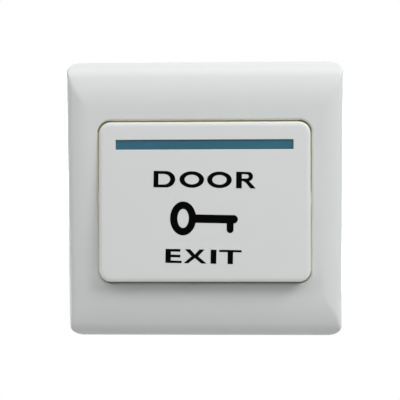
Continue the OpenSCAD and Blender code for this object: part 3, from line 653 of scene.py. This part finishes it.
def letter_t(x, w, h):
    stem, bar = 1.64, 0.66
    left = x + w / 2 - stem / 2
    return [[
        (left, 0), (left + stem, 0), (left + stem, h - bar), (x + w, h - bar), (x + w, h),
        (x, h), (x, h - bar), (left, h - bar),
    ]]


def key_sign():
    """A key lying on its side: an upright oval bow, a shaft with a round end and one bit."""
    bow_w, bow_h, bow_x = 8.0, 10.4, -6.54
    hole_w, hole_h = 3.5, 5.85
    shaft_h, shaft_end = 2.58, 10.26
    bit_w, bit_x, bit_h = 2.12, 7.92, 4.25
    r, b = shaft_h / 2, bit_w / 2
    # Where the shaft's edge meets the bow
    meet = math.degrees(math.asin(shaft_h / bow_h))
    bow = ellipse(bow_x, 0, bow_w, bow_h, meet, 360 - meet, 60)
    shaft = [(bit_x - b, -r), *ellipse(bit_x, -bit_h + b, bit_w, bit_w, 180, 360, 14), (bit_x + b, -r)]
    shaft += ellipse(shaft_end - r, 0, shaft_h, shaft_h, -90, 90, 18)
    return [[*bow, *shaft], ellipse(bow_x, 0, hole_w, hole_h)[:-1]]


def legend(material):
    ink_t = 0.035
    door_h, exit_h = 5.06, 4.3
    door = [
        letter_d(-15.63, 6.68, door_h), letter_o(-7.64, 7.54, door_h),
        letter_o(0.84, 7.55, door_h), letter_r(9.73, 6.02, door_h),
    ]
    exit_word = [
        letter_e(-12.02, 5.0, exit_h), letter_x(-6.42, 7.06, exit_h),
        letter_i(1.85, 1.76, exit_h), letter_t(4.45, 6.86, exit_h),
    ]
    # Each line's foot below the push plate's top edge, and its slope in degrees
    lines = [(door, 20.3, -0.8), ([key_sign()], 29.77, -1.1), (exit_word, 43.49, -1.1)]
    curve = bpy.data.curves.new("legend", "CURVE")
    curve.dimensions = "2D"
    curve.fill_mode = "BOTH"
    curve.extrude = ink_t / 2
    for shapes, foot, slope in lines:
        turn = Matrix.Rotation(math.radians(slope), 2)
        for outline in [o for shape in shapes for o in shape]:
            spline = curve.splines.new("POLY")
            spline.points.add(len(outline) - 1)
            for point, place in zip(spline.points, outline):
                x, y = turn @ Vector(place)
                point.co = (x, y - foot, 0, 1)
            spline.use_cyclic_u = True
    drawn = add_object("legend", curve)
    mesh = evaluated_mesh(drawn)
    bpy.data.objects.remove(drawn)
    piece = add_object("legend", mesh)
    piece.data.transform(Matrix.Translation((0, PUSH_TOP, PUSH_FRONT_Z + ink_t / 2)))
    finish(piece, "legend_ink", "push_plate", material, at_rest=True)


# Nodes of geometry and shader trees

def placed(tree, kind, values=None, **settings):
    """A node with its settings, and with its inputs set or linked by name or number."""
    node = tree.nodes.new(kind)
    for setting, value in settings.items():
        setattr(node, setting, value)
    for socket, value in (values or {}).items():
        if isinstance(value, bpy.types.NodeSocket):
            tree.links.new(value, node.inputs[socket])
        else:
            node.inputs[socket].default_value = value
    return node


def math_node(tree, operation, *values):
    return placed(tree, "ShaderNodeMath", dict(enumerate(values)), operation=operation).outputs[0]


def ranged(tree, value, low, high, to_low=0.0, to_high=1.0):
    return placed(tree, "ShaderNodeMapRange", {
        "Value": value, "From Min": low, "From Max": high, "To Min": to_low, "To Max": to_high,
    }).outputs["Result"]


def arithmetic(tree):
    """Calls that add a tree's plus, minus, times and map range nodes."""
    plus = partial(math_node, tree, "ADD")
    return (
        lambda *values: reduce(plus, values), partial(math_node, tree, "SUBTRACT"),
        partial(math_node, tree, "MULTIPLY"), partial(ranged, tree),
    )


# Spring and screws, by geometry nodes

def geometry_tree(name, **inputs):
    """A geometry tree with named inputs of each kind, its inputs, and its points' x, y and z."""
    tree = bpy.data.node_groups.new(name, "GeometryNodeTree")
    tree.interface.new_socket("Geometry", in_out="INPUT", socket_type="NodeSocketGeometry")
    for kind, sockets in inputs.items():
        for socket in sockets:
            tree.interface.new_socket(socket, in_out="INPUT", socket_type="NodeSocket" + kind)
    tree.interface.new_socket("Geometry", in_out="OUTPUT", socket_type="NodeSocketGeometry")
    at = tree.nodes.new("GeometryNodeInputPosition").outputs[0]
    spot = placed(tree, "ShaderNodeSeparateXYZ", {"Vector": at}).outputs
    return tree, tree.nodes.new("NodeGroupInput").outputs, spot[0], spot[1], spot[2]


def close_tree(tree, geometry, finish_socket):
    """Ends a tree in Realize Instances and Set Material."""
    real = placed(tree, "GeometryNodeRealizeInstances", {"Geometry": geometry}).outputs[0]
    dressed = placed(tree, "GeometryNodeSetMaterial", {"Geometry": real, "Material": finish_socket})
    tree.links.new(dressed.outputs[0], tree.nodes.new("NodeGroupOutput").inputs[0])


def grown(name, tree, values, seats=((0.0, 0.0, 0.0),)):
    """A plain mesh that a tree makes from points at its seats."""
    mesh = bpy.data.meshes.new(name)
    mesh.from_pydata([tuple(seat) for seat in seats], [], [])
    piece = add_object(name, mesh)
    modifier = piece.modifiers.new(tree.name, "NODES")
    modifier.node_group = tree
    for item in tree.interface.items_tree:
        if item.in_out == "INPUT" and item.name in values:
            modifier[item.identifier] = values[item.name]
    return settle(piece)


def coil_tree():
    """A compression spring from z = 0 up, with its first and last turn closed."""
    tree, given, x, y, z = geometry_tree(
        "coil spring", Float=["Wire radius", "Mean radius", "Turns", "Height", "Closed pitch"],
        Material=["Finish"]
    )
    plus, minus, times, remap = arithmetic(tree)
    turns, height, pitch = given["Turns"], given["Height"], given["Closed pitch"]
    spiral = placed(tree, "GeometryNodeCurveSpiral", {
        "Resolution": 40, "Rotations": turns, "Start Radius": given["Mean radius"],
        "End Radius": given["Mean radius"], "Height": 1.0, "Reverse": True,
    })
    turn = times(z, turns)
    last = minus(turns, 1.0)
    rise = plus(
        remap(turn, 0.0, 1.0, 0.0, pitch), remap(turn, 1.0, last, 0.0, minus(height, times(pitch, 2.0))),
        remap(turn, last, turns, 0.0, pitch)
    )
    spread = placed(tree, "ShaderNodeCombineXYZ", {"X": x, "Y": y, "Z": rise}).outputs[0]
    path = placed(tree, "GeometryNodeSetPosition", {"Geometry": spiral.outputs[0], "Position": spread})
    section = placed(
        tree, "GeometryNodeCurvePrimitiveCircle", {"Resolution": 14, "Radius": given["Wire radius"]}
    )
    wire = placed(tree, "GeometryNodeCurveToMesh", {
        "Curve": path.outputs[0], "Profile Curve": section.outputs[0], "Fill Caps": True,
    })
    close_tree(tree, wire.outputs[0], given["Finish"])
    return tree


def screw_tree():
    """Pan head screws with a cross recess and a thread, seated at the input's points, head down."""
    tree, given, x, y, z = geometry_tree(
        "pan head screws", Float=[
            "Thread radius", "Thread length", "Thread depth", "Pitch", "Head radius", "Head height",
            "Edge radius", "Cross length", "Cross width", "Cross depth",
        ], Int=["Rows", "Seed"], Material=["Finish"]
    )
    plus, minus, times, remap = arithmetic(tree)
    head_r, head_h, edge_r = given["Head radius"], given["Head height"], given["Edge radius"]
    across = math_node(tree, "SQRT", plus(times(x, x), times(y, y)))

    def moved(geometry, factor, level):
        """The geometry with x and y times the factor, and at the height level."""
        place = {"X": times(x, factor), "Y": times(y, factor), "Z": level}
        flat = placed(tree, "ShaderNodeCombineXYZ", place).outputs[0]
        at_place = {"Geometry": geometry, "Position": flat}
        return placed(tree, "GeometryNodeSetPosition", at_place).outputs[0]

    def unit_rod(sides, rows, rings):
        """A cylinder of radius and height 1, with rows along it and rings on its ends."""
        return placed(tree, "GeometryNodeMeshCylinder", {
            "Vertices": sides, "Side Segments": rows, "Fill Segments": rings,
            "Radius": 1.0, "Depth": 1.0,
        }, fill_type="TRIANGLE_FAN").outputs["Mesh"]

    def arc_drop(radius, reach):
        """How far a circle's arc has dropped at the distance reach from its top."""
        square = math_node(tree, "MAXIMUM", minus(times(radius, radius), times(reach, reach)), 0.0)
        return minus(radius, math_node(tree, "SQRT", square))

    # The head, from a unit rod with its rings crowded towards the rim and its wall's middle row
    # pulled to the foot
    top_share, wall_pull = 0.4, 0.3
    crowded = times(head_r, math_node(tree, "SINE", times(across, math.pi / 2)))
    factor = math_node(tree, "DIVIDE", crowded, math_node(tree, "MAXIMUM", across, 1e-6))
    past_edge = math_node(tree, "MAXIMUM", minus(crowded, minus(head_r, edge_r)), 0.0)
    drop = plus(arc_drop(times(head_r, 2.0), crowded), arc_drop(edge_r, past_edge))
    is_top = math_node(tree, "GREATER_THAN", z, top_share)
    is_wall = math_node(tree, "LESS_THAN", math_node(tree, "ABSOLUTE", z), top_share)
    level = times(times(plus(z, 0.5), head_h), minus(1.0, times(is_wall, wall_pull)))
    head = moved(unit_rod(64, 2, 14), factor, minus(level, times(is_top, drop)))

    # The cross recess: two bars that narrow downwards
    cross_depth, narrow, wide = given["Cross depth"], 0.62, 1.25
    recessed = placed(
        tree, "GeometryNodeMeshBoolean", {"Mesh 1": head}, operation="DIFFERENCE", solver="EXACT"
    )
    for length, width in (("Cross length", "Cross width"), ("Cross width", "Cross length")):
        size = placed(tree, "ShaderNodeCombineXYZ", {
            "X": given[length], "Y": given[width], "Z": times(cross_depth, 2.0),
        })
        bar = placed(tree, "GeometryNodeMeshCube", {"Size": size.outputs[0]}).outputs["Mesh"]
        narrowed = remap(z, times(cross_depth, -1.0), cross_depth, narrow, wide)
        tree.links.new(moved(bar, narrowed, plus(z, head_h)), recessed.inputs["Mesh 2"])

    # The thread: a rod whose radius follows a wave that climbs one pitch a turn
    length, thread_depth, bite = given["Thread length"], given["Thread depth"], 0.3
    crest, root = 0.12, 0.85
    depth = times(minus(0.5, z), plus(length, bite))
    turn = math_node(tree, "DIVIDE", math_node(tree, "ARCTAN2", y, x), 2 * math.pi)
    climb = math_node(tree, "DIVIDE", depth, given["Pitch"])
    wave = math_node(tree, "FRACT", plus(climb, turn, 0.5))
    ridge = math_node(tree, "ABSOLUTE", minus(times(wave, 2.0), 1.0))
    groove = times(remap(ridge, crest, root), thread_depth)
    tip = remap(depth, length, plus(length, bite), 0.0, thread_depth)
    thread_r = minus(given["Thread radius"], math_node(tree, "MAXIMUM", groove, tip))
    shank = moved(unit_rod(40, given["Rows"], 1), thread_r, minus(bite, depth))
    whole = placed(tree, "GeometryNodeMeshBoolean", operation="UNION", solver="EXACT")
    for part in (recessed.outputs["Mesh"], shank):
        tree.links.new(part, whole.inputs["Mesh 2"])
    clean = placed(
        tree, "GeometryNodeMergeByDistance", {"Geometry": whole.outputs["Mesh"], "Distance": 0.004}
    )

    # One screw at each seat, each turned as it was when it came tight
    stop = placed(tree, "FunctionNodeRandomValue", {"Seed": given["Seed"]}, data_type="FLOAT")
    turned = {"X": math.pi, "Z": times(stop.outputs["Value"], math.pi)}
    seated = placed(tree, "GeometryNodeInstanceOnPoints", {
        "Points": given["Geometry"], "Instance": clean.outputs[0],
        "Rotation": placed(tree, "ShaderNodeCombineXYZ", turned).outputs[0],
    })
    close_tree(tree, seated.outputs[0], given["Finish"])
    return tree


def return_spring(material):
    lowest = SPRING_SEAT_Z + WIRE_R
    piece = grown("spring", coil_tree(), {
        "Wire radius": WIRE_R, "Mean radius": SPRING_R, "Turns": SPRING_TURNS,
        "Height": RETAINER_Z - WIRE_R - lowest, "Closed pitch": 2 * WIRE_R + SEAT_GAP, "Finish": material,
    })
    piece.data.transform(Matrix.Translation((0, PLUNGER_Y, lowest)))
    finish(shaded(piece), "return_spring_wire", "case", material, ["return_spring"])
    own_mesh(piece)


def screws(name, tree, seats, sizes, material, replaced):
    piece = grown(name, tree, {**sizes, "Finish": material}, seats)
    finish(shaded(piece, 30), name, "case", material, [replaced])


TERMINAL_SCREW = {
    "Thread radius": 1.75, "Thread length": 4.1, "Thread depth": 0.33, "Pitch": 0.6, "Rows": 74,
    "Head radius": 3.1, "Head height": 2.2, "Edge radius": 0.4,
    "Cross length": 4.0, "Cross width": 0.9, "Cross depth": 1.2,
}
HOUSING_SCREW = {
    "Thread radius": 1.1, "Thread length": 5.9, "Thread depth": 0.26, "Pitch": 0.8, "Rows": 78,
    "Head radius": 2.3, "Head height": 1.7, "Edge radius": 0.3,
    "Cross length": 3.0, "Cross width": 0.65, "Cross depth": 0.95,
}


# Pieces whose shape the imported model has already: a copy with its sharp edges eased

def eased(node, material, edge_w):
    sharp_degrees = 38
    body = nodes[node]["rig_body"]
    mesh = nodes[node].data.copy()
    bm = bmesh.new()
    bm.from_mesh(mesh)
    bmesh.ops.remove_doubles(bm, verts=bm.verts, dist=2e-7)
    bmesh.ops.dissolve_limit(
        bm, angle_limit=math.radians(0.3), verts=bm.verts, edges=bm.edges, delimit=set()
    )
    bm.to_mesh(mesh)
    bm.free()
    piece = add_object(node + "_finished", mesh)
    bevel = piece.modifiers.new("eased_edges", "BEVEL")
    bevel.width = edge_w * MM
    bevel.segments = 2
    bevel.limit_method = "ANGLE"
    bevel.angle_limit = math.radians(sharp_degrees)
    bevel.miter_outer = "MITER_ARC"
    bevel.use_clamp_overlap = True
    shaded(settle(piece), sharp_degrees)
    weighted = piece.modifiers.new("flat_faces_lead", "WEIGHTED_NORMAL")
    weighted.keep_sharp = True
    return dress(settle(piece), body, material, [node])


# Materials

COLOUR, VALUE, VECTOR = "NodeSocketColor", "NodeSocketFloat", "NodeSocketVector"
# Values between which most of a noise lies
NOISE_RANGE = (0.3, 0.7)


def new_group(name, inputs, outputs):
    """A shader node group with named sockets, its inputs and outputs, and Object coordinates."""
    tree = bpy.data.node_groups.new(name, "ShaderNodeTree")
    for socket, kind, value in inputs:
        made = tree.interface.new_socket(socket, in_out="INPUT", socket_type=kind)
        made.default_value = value
    for socket, kind in outputs:
        tree.interface.new_socket(socket, in_out="OUTPUT", socket_type=kind)
    given, end = tree.nodes.new("NodeGroupInput").outputs, tree.nodes.new("NodeGroupOutput").inputs
    return tree, given, end, tree.nodes.new("ShaderNodeTexCoord").outputs["Object"]


def mix_colours(tree, factor, a, b):
    """A colour mix. The node has its sockets for each type of value, so they go by number."""
    return placed(tree, "ShaderNodeMix", {0: factor, 6: a, 7: b}, data_type="RGBA").outputs[2]


def scaled(tree, colour, factor):
    return placed(
        tree, "ShaderNodeVectorMath", {0: colour, "Scale": factor}, operation="SCALE"
    ).outputs["Vector"]


def noise(tree, coordinates, scale, detail, roughness=0.5):
    return placed(tree, "ShaderNodeTexNoise", {
        "Vector": coordinates, "Scale": scale, "Detail": detail, "Roughness": roughness,
    }).outputs["Fac"]


def moulded_surface_group():
    """Slow tone and gloss changes of a moulding, a fine grain, and painted shade, light and glow in a
    narrow gap.
    """
    tree, given, end, place = new_group("moulded surface", [
        ("Colour", COLOUR, (0.8, 0.8, 0.8, 1)), ("Tone change", VALUE, 0.02), ("Gloss", VALUE, 0.25),
        ("Gloss change", VALUE, 0.05), ("Grain scale", VALUE, 2500.0),
        ("Painted gap tint", COLOUR, (0.3, 0.28, 0.18, 1)), ("Painted corner shade", COLOUR, (0.3, 0.28, 0.18, 1)),
        ("Gap reach", VALUE, 0.002), ("Painted top glow", VALUE, 1.0),
    ], [("Colour", COLOUR), ("Roughness", VALUE), ("Height", VALUE), ("Painted gap glow", COLOUR)])
    _, minus, times, remap = arithmetic(tree)
    lower = minus(1.0, given["Tone change"])
    tone = remap(noise(tree, place, 45.0, 2.0), *NOISE_RANGE, lower, 1.0)
    gap = placed(tree, "ShaderNodeAmbientOcclusion", {"Distance": given["Gap reach"]}, samples=8)
    openness = gap.outputs["AO"]
    # Painted shade: the push plate's gap is painted darker in its four corners.
    spot = placed(tree, "ShaderNodeSeparateXYZ", {"Vector": place}).outputs
    x, y, z = spot["X"], spot["Y"], spot["Z"]
    corner = 1.0
    for along, middle, half in ((x, 0.0, APERTURE_W / 2), (z, APERTURE_Y, APERTURE_H / 2)):
        away = math_node(tree, "ABSOLUTE", minus(along, middle * MM))
        corner = times(remap(away, (half - APERTURE_R) * MM, half * MM, 0.0, 2.0), corner)
    corner = math_node(tree, "MINIMUM", corner, 1.0)
    gap_tint_painted = mix_colours(tree, corner, given["Painted gap tint"], given["Painted corner shade"])
    shade = scaled(tree, given["Colour"], tone)
    # Painted shade and light: the less open a place is, the more its colour turns to the painted gap
    # tint.
    tree.links.new(mix_colours(tree, remap(openness, 0.15, 0.8), gap_tint_painted, shade), end["Colour"])
    # Painted glow that stands in for light through the walls beside a gap, from 2 mm in front of the wall
    # plane; most of it is painted into the top gap, as if from above, and less at the bottom. Each pair
    # of places is where a change starts and ends.
    top_from, top_to = 20.5 * MM, 24.2 * MM
    low_from, low_to, painted_low_glow = -24.5 * MM, -20.0 * MM, 0.3
    front_from, front_to = -2.2 * MM, -1.8 * MM
    dark = (0.0, 0.0, 0.0, 1.0)
    painted_glow_colour = mix_colours(tree, remap(openness, 0.12, 0.5), gap_tint_painted, dark)
    rise = remap(z, top_from, top_to, 1.0, given["Painted top glow"])
    fall = remap(z, low_from, low_to, painted_low_glow, 1.0)
    level = times(times(rise, fall), remap(y, front_from, front_to, 1.0, 0.0))
    tree.links.new(scaled(tree, painted_glow_colour, level), end["Painted gap glow"])
    gloss = remap(noise(tree, place, 160.0, 4.0), *NOISE_RANGE, -1.0, 1.0)
    rough = math_node(tree, "MULTIPLY_ADD", gloss, given["Gloss change"], given["Gloss"])
    tree.links.new(rough, end["Roughness"])
    tree.links.new(noise(tree, place, given["Grain scale"], 2.0), end["Height"])
    return tree


def worn_metal_group():
    """Fine drawn lines and small dull stains of a plated or stamped metal."""
    tree, given, end, place = new_group("worn metal", [
        ("Colour", COLOUR, (0.6, 0.6, 0.6, 1)), ("Dull colour", COLOUR, (0.4, 0.4, 0.4, 1)),
        ("Gloss", VALUE, 0.3), ("Stretch", VECTOR, (1.0, 1.0, 1.0)),
    ], [("Colour", COLOUR), ("Roughness", VALUE), ("Height", VALUE)])
    plus, _, _, remap = arithmetic(tree)
    stretched = placed(
        tree, "ShaderNodeVectorMath", {0: place, 1: given["Stretch"]}, operation="MULTIPLY"
    ).outputs["Vector"]
    stains = remap(noise(tree, place, 420.0, 5.0, 0.6), 0.42, 0.68)
    stained = mix_colours(tree, stains, given["Colour"], given["Dull colour"])
    tree.links.new(stained, end["Colour"])
    lines = noise(tree, stretched, 2600.0, 3.0)
    worn = remap(lines, *NOISE_RANGE, -0.06, 0.12)
    tree.links.new(plus(worn, given["Gloss"]), end["Roughness"])
    tree.links.new(lines, end["Height"])
    return tree


MOULDED, METAL = moulded_surface_group(), worn_metal_group()


def new_material(name, group, values, bump, metallic=0.0, specular=0.5, painted_gap_glow=0.0):
    """A Principled material whose colour, roughness and bump come from one of the shared groups.

    The gap glow argument sets a painted glow: emission that stands in for light through thin plastic
    walls beside a narrow gap.
    """
    material = bpy.data.materials.new(name)
    material.use_nodes = True
    tree = material.node_tree
    shader = tree.nodes["Principled BSDF"].inputs
    shader["Metallic"].default_value = metallic
    shader["Specular IOR Level"].default_value = specular
    shader["Emission Strength"].default_value = painted_gap_glow
    source = placed(tree, "ShaderNodeGroup", values, node_tree=group).outputs
    tree.links.new(source["Colour"], shader["Base Color"])
    # Painted glow in narrow gaps, through the emission.
    if painted_gap_glow:
        tree.links.new(source["Painted gap glow"], shader["Emission Color"])
    tree.links.new(source["Roughness"], shader["Roughness"])
    relief = placed(tree, "ShaderNodeBump", {
        "Strength": bump, "Distance": 0.02 * MM, "Height": source["Height"],
    })
    tree.links.new(relief.outputs["Normal"], shader["Normal"])
    return material


def new_metal(name, colour, dull, gloss, bump, stretch=(1.0, 1.0, 1.0)):
    return new_material(name, METAL, {
        "Colour": colour, "Dull colour": dull, "Gloss": gloss, "Stretch": stretch,
    }, bump, metallic=1.0)


# Gloss white: its gap tint is a painted cream light beside the gaps, its corner colour is painted shade
# in the push plate gap's corners, and its glow is painted light, strongest in the top gap.
def gloss_white(name, gloss):
    return new_material(name, MOULDED, {
        "Colour": (0.70, 0.712, 0.708, 1), "Tone change": 0.012, "Gloss": gloss, "Gloss change": 0.03,
        "Painted gap tint": (0.90, 0.88, 0.68, 1), "Painted corner shade": (0.42, 0.44, 0.10, 1),
        "Gap reach": 0.0012, "Painted top glow": 4.5,
    }, 0.05, specular=0.36, painted_gap_glow=0.055)


WHITE = gloss_white("frame gloss white", 0.24)
PUSH_WHITE = gloss_white("push plate gloss white", 0.22)
# Inner white: painted olive shade beside its gaps and crevices, and a strong painted glow in them.
INNER_WHITE = new_material("inner moulding white", MOULDED, {
    "Colour": (0.70, 0.69, 0.64, 1), "Tone change": 0.05, "Gloss": 0.5, "Gloss change": 0.06,
    "Grain scale": 1800.0, "Painted gap tint": (0.60, 0.58, 0.30, 1), "Gap reach": 0.003,
}, 0.3, painted_gap_glow=0.8)
# Teal: painted darker shade beside its gaps.
TEAL = new_material("strip teal", MOULDED, {
    "Colour": (0.041, 0.149, 0.211, 1), "Tone change": 0.12, "Gloss": 0.2, "Gloss change": 0.03,
    "Painted gap tint": (0.03, 0.09, 0.12, 1), "Gap reach": 0.0005,
}, 0.04, specular=0.12)
# Dark grey: painted darker shade in its crevices.
DARK = new_material("housing dark grey", MOULDED, {
    "Colour": (0.035, 0.036, 0.04, 1), "Tone change": 0.25, "Gloss": 0.45, "Gloss change": 0.08,
    "Grain scale": 1500.0, "Painted gap tint": (0.01, 0.01, 0.011, 1), "Gap reach": 0.002,
}, 0.5)
INK = new_material("legend ink black", MOULDED, {
    "Colour": (0.0007, 0.0007, 0.001, 1), "Tone change": 0.3, "Gloss": 0.6, "Gloss change": 0.08,
    "Grain scale": 5000.0, "Painted gap tint": (0.0007, 0.0007, 0.001, 1),
}, 0.15, specular=0.02)
# Name, colour, dull colour, gloss, bump and the stretch of the drawn lines
BRASS = new_metal(
    "stamped brass", (0.78, 0.56, 0.22, 1), (0.55, 0.36, 0.13, 1), 0.28, 0.25, (0.12, 1.0, 1.0)
)
STEEL = new_metal("zinc plated steel", (0.62, 0.63, 0.65, 1), (0.40, 0.41, 0.43, 1), 0.3, 0.25)
WIRE = new_metal("spring wire", (0.55, 0.56, 0.57, 1), (0.34, 0.34, 0.35, 1), 0.22, 0.2)
SILVER = new_metal("silver contact", (0.86, 0.85, 0.82, 1), (0.60, 0.58, 0.54, 1), 0.25, 0.15)
NICKEL = new_metal("nickel plated screw", (0.74, 0.72, 0.67, 1), (0.50, 0.48, 0.43, 1), 0.24, 0.2)


# The pieces

front_frame(WHITE)
push_plate(PUSH_WHITE)
indicator_strip(TEAL)
legend(INK)
eased("base_plate", INNER_WHITE, 0.15)
eased("rear_housing", DARK, 0.2)
eased("plunger", DARK, 0.1)
for side in ("com", "no"):
    eased("terminal_strip_" + side, BRASS, 0.08)
    eased("terminal_nut_" + side, STEEL, 0.2)
    eased("clamp_washer_" + side, STEEL, 0.1)
    eased("fixed_contact_" + side, SILVER, 0.06)
for side in ("left", "right"):
    eased("bridge_contact_" + side, SILVER, 0.06)
eased("contact_bridge", BRASS, 0.06)
eased("bridge_retainer", STEEL, 0.08)
return_spring(WIRE)
screw_makers = screw_tree()
for seed, side, x in ((3, "com", -TERMINAL_X), (4, "no", TERMINAL_X)):
    screws(
        "terminal_screw_threaded_" + side, screw_makers, [(x, PLUNGER_Y, WASHER_Z)],
        {**TERMINAL_SCREW, "Seed": seed}, NICKEL, "terminal_screw_" + side
    )
corner_seats = [
    (sx * HOUSING_SCREW_X, PLUNGER_Y + sy * HOUSING_SCREW_Y, HOUSING_SCREW_Z)
    for sx in (-1, 1) for sy in (-1, 1)
]
screws(
    "housing_screws_threaded", screw_makers, corner_seats, {**HOUSING_SCREW, "Seed": 7},
    STEEL, "housing_screws"
)


# Camera, lights and surroundings

def look(obj, place, target, roll=0.0):
    direction = Vector(target) - Vector(place)
    turn = direction.to_track_quat("-Z", "Y").to_matrix().to_4x4()
    obj.matrix_world = Matrix.Translation(place) @ turn @ Matrix.Rotation(roll, 4, "Z")


def camera():
    lens, sensor = 80.2, 36.0
    distance = 280 * MM
    azimuth, elevation, roll = (math.radians(degrees) for degrees in (1.5, 4.4, -0.28))
    middle = Vector((0, -4.9 * MM, 0))
    aim = middle + Vector((-1.55 * MM, 0, 0.05 * MM))
    level = math.cos(elevation)
    back = Vector((math.sin(azimuth) * level, -math.cos(azimuth) * level, math.sin(elevation)))
    data = bpy.data.cameras.new("camera")
    data.lens = lens
    data.sensor_width = sensor
    data.clip_start, data.clip_end = 0.01, 20
    view = add_object("camera", data)
    look(view, middle + distance * back, aim, roll)
    bpy.context.scene.camera = view


def area_light(name, place, size, power, spread):
    """A soft rectangular lamp that faces the plate and fans out by spread degrees."""
    data = bpy.data.lights.new(name, "AREA")
    data.shape = "RECTANGLE"
    data.size, data.size_y = size
    data.energy = power
    data.spread = math.radians(spread)
    look(add_object(name, data), place, (0, 0, 0))


def surroundings(ambient):
    """A white background for the camera and in reflections, and a plain level of light."""
    world = bpy.data.worlds.new("studio")
    bpy.context.scene.world = world
    world.use_nodes = True
    tree = world.node_tree
    light = tree.nodes["Background"]
    light.inputs["Color"].default_value = (1, 1, 1, 1)
    light.inputs["Strength"].default_value = ambient
    white = placed(tree, "ShaderNodeBackground", {"Color": (1, 1, 1, 1), "Strength": 1.0})
    path = tree.nodes.new("ShaderNodeLightPath").outputs
    seen = math_node(tree, "MAXIMUM", path["Is Camera Ray"], path["Is Glossy Ray"])
    seen = math_node(tree, "MAXIMUM", seen, path["Is Transmission Ray"])
    mix = placed(tree, "ShaderNodeMixShader", {0: seen, 1: light.outputs[0], 2: white.outputs[0]})
    tree.links.new(mix.outputs[0], tree.nodes["World Output"].inputs["Surface"])


def floor():
    """A plain pale floor well below the plate, which is held on its wall."""
    size, drop = 0.9, 0.25
    bm = bmesh.new()
    bmesh.ops.create_grid(bm, x_segments=1, y_segments=1, size=size / 2)
    mesh = bpy.data.meshes.new("floor")
    bm.to_mesh(mesh)
    bm.free()
    mesh.transform(Matrix.Translation((0, 0, -drop)))
    material = bpy.data.materials.new("pale floor")
    material.use_nodes = True
    shader = material.node_tree.nodes["Principled BSDF"]
    shader.inputs["Base Color"].default_value = (0.79, 0.79, 0.79, 1)
    shader.inputs["Roughness"].default_value = 0.7
    mesh.materials.append(material)
    add_object("floor", mesh)


bpy.context.scene.view_settings.view_transform = "Standard"
camera()
surroundings(0.05)
floor()
# Name, place, size, power and spread of each soft lamp. The rear ones are narrow, so that the
# floor doesn't throw their light on the front; the left edge one lights the frame's left wall.
LAMPS = [
    ("overhead", (0.0, -0.33, 0.9), (0.9, 0.4), 1.78, 180),
    ("high front", (0.0, -0.62, 0.74), (0.9, 0.4), 2.01, 180),
    ("middle front", (0.0, -0.85, 0.5), (0.9, 0.35), 1.01, 180),
    ("high right", (0.6, -0.5, 0.6), (0.4, 0.4), 3.44, 180),
    ("high far right", (0.75, -0.2, 0.7), (0.4, 0.4), 4.67, 180),
    ("high left", (-0.6, -0.5, 0.6), (0.4, 0.4), 1.86, 180),
    ("left edge", (-0.4, 0.15, -0.05), (0.3, 0.5), 0.55, 180),
    ("rear left", (-0.3, 0.42, 0.04), (0.2, 0.2), 0.12, 40),
    ("rear right", (0.34, 0.4, -0.02), (0.2, 0.2), 0.08, 40),
]
for lamp in LAMPS:
    area_light(*lamp)
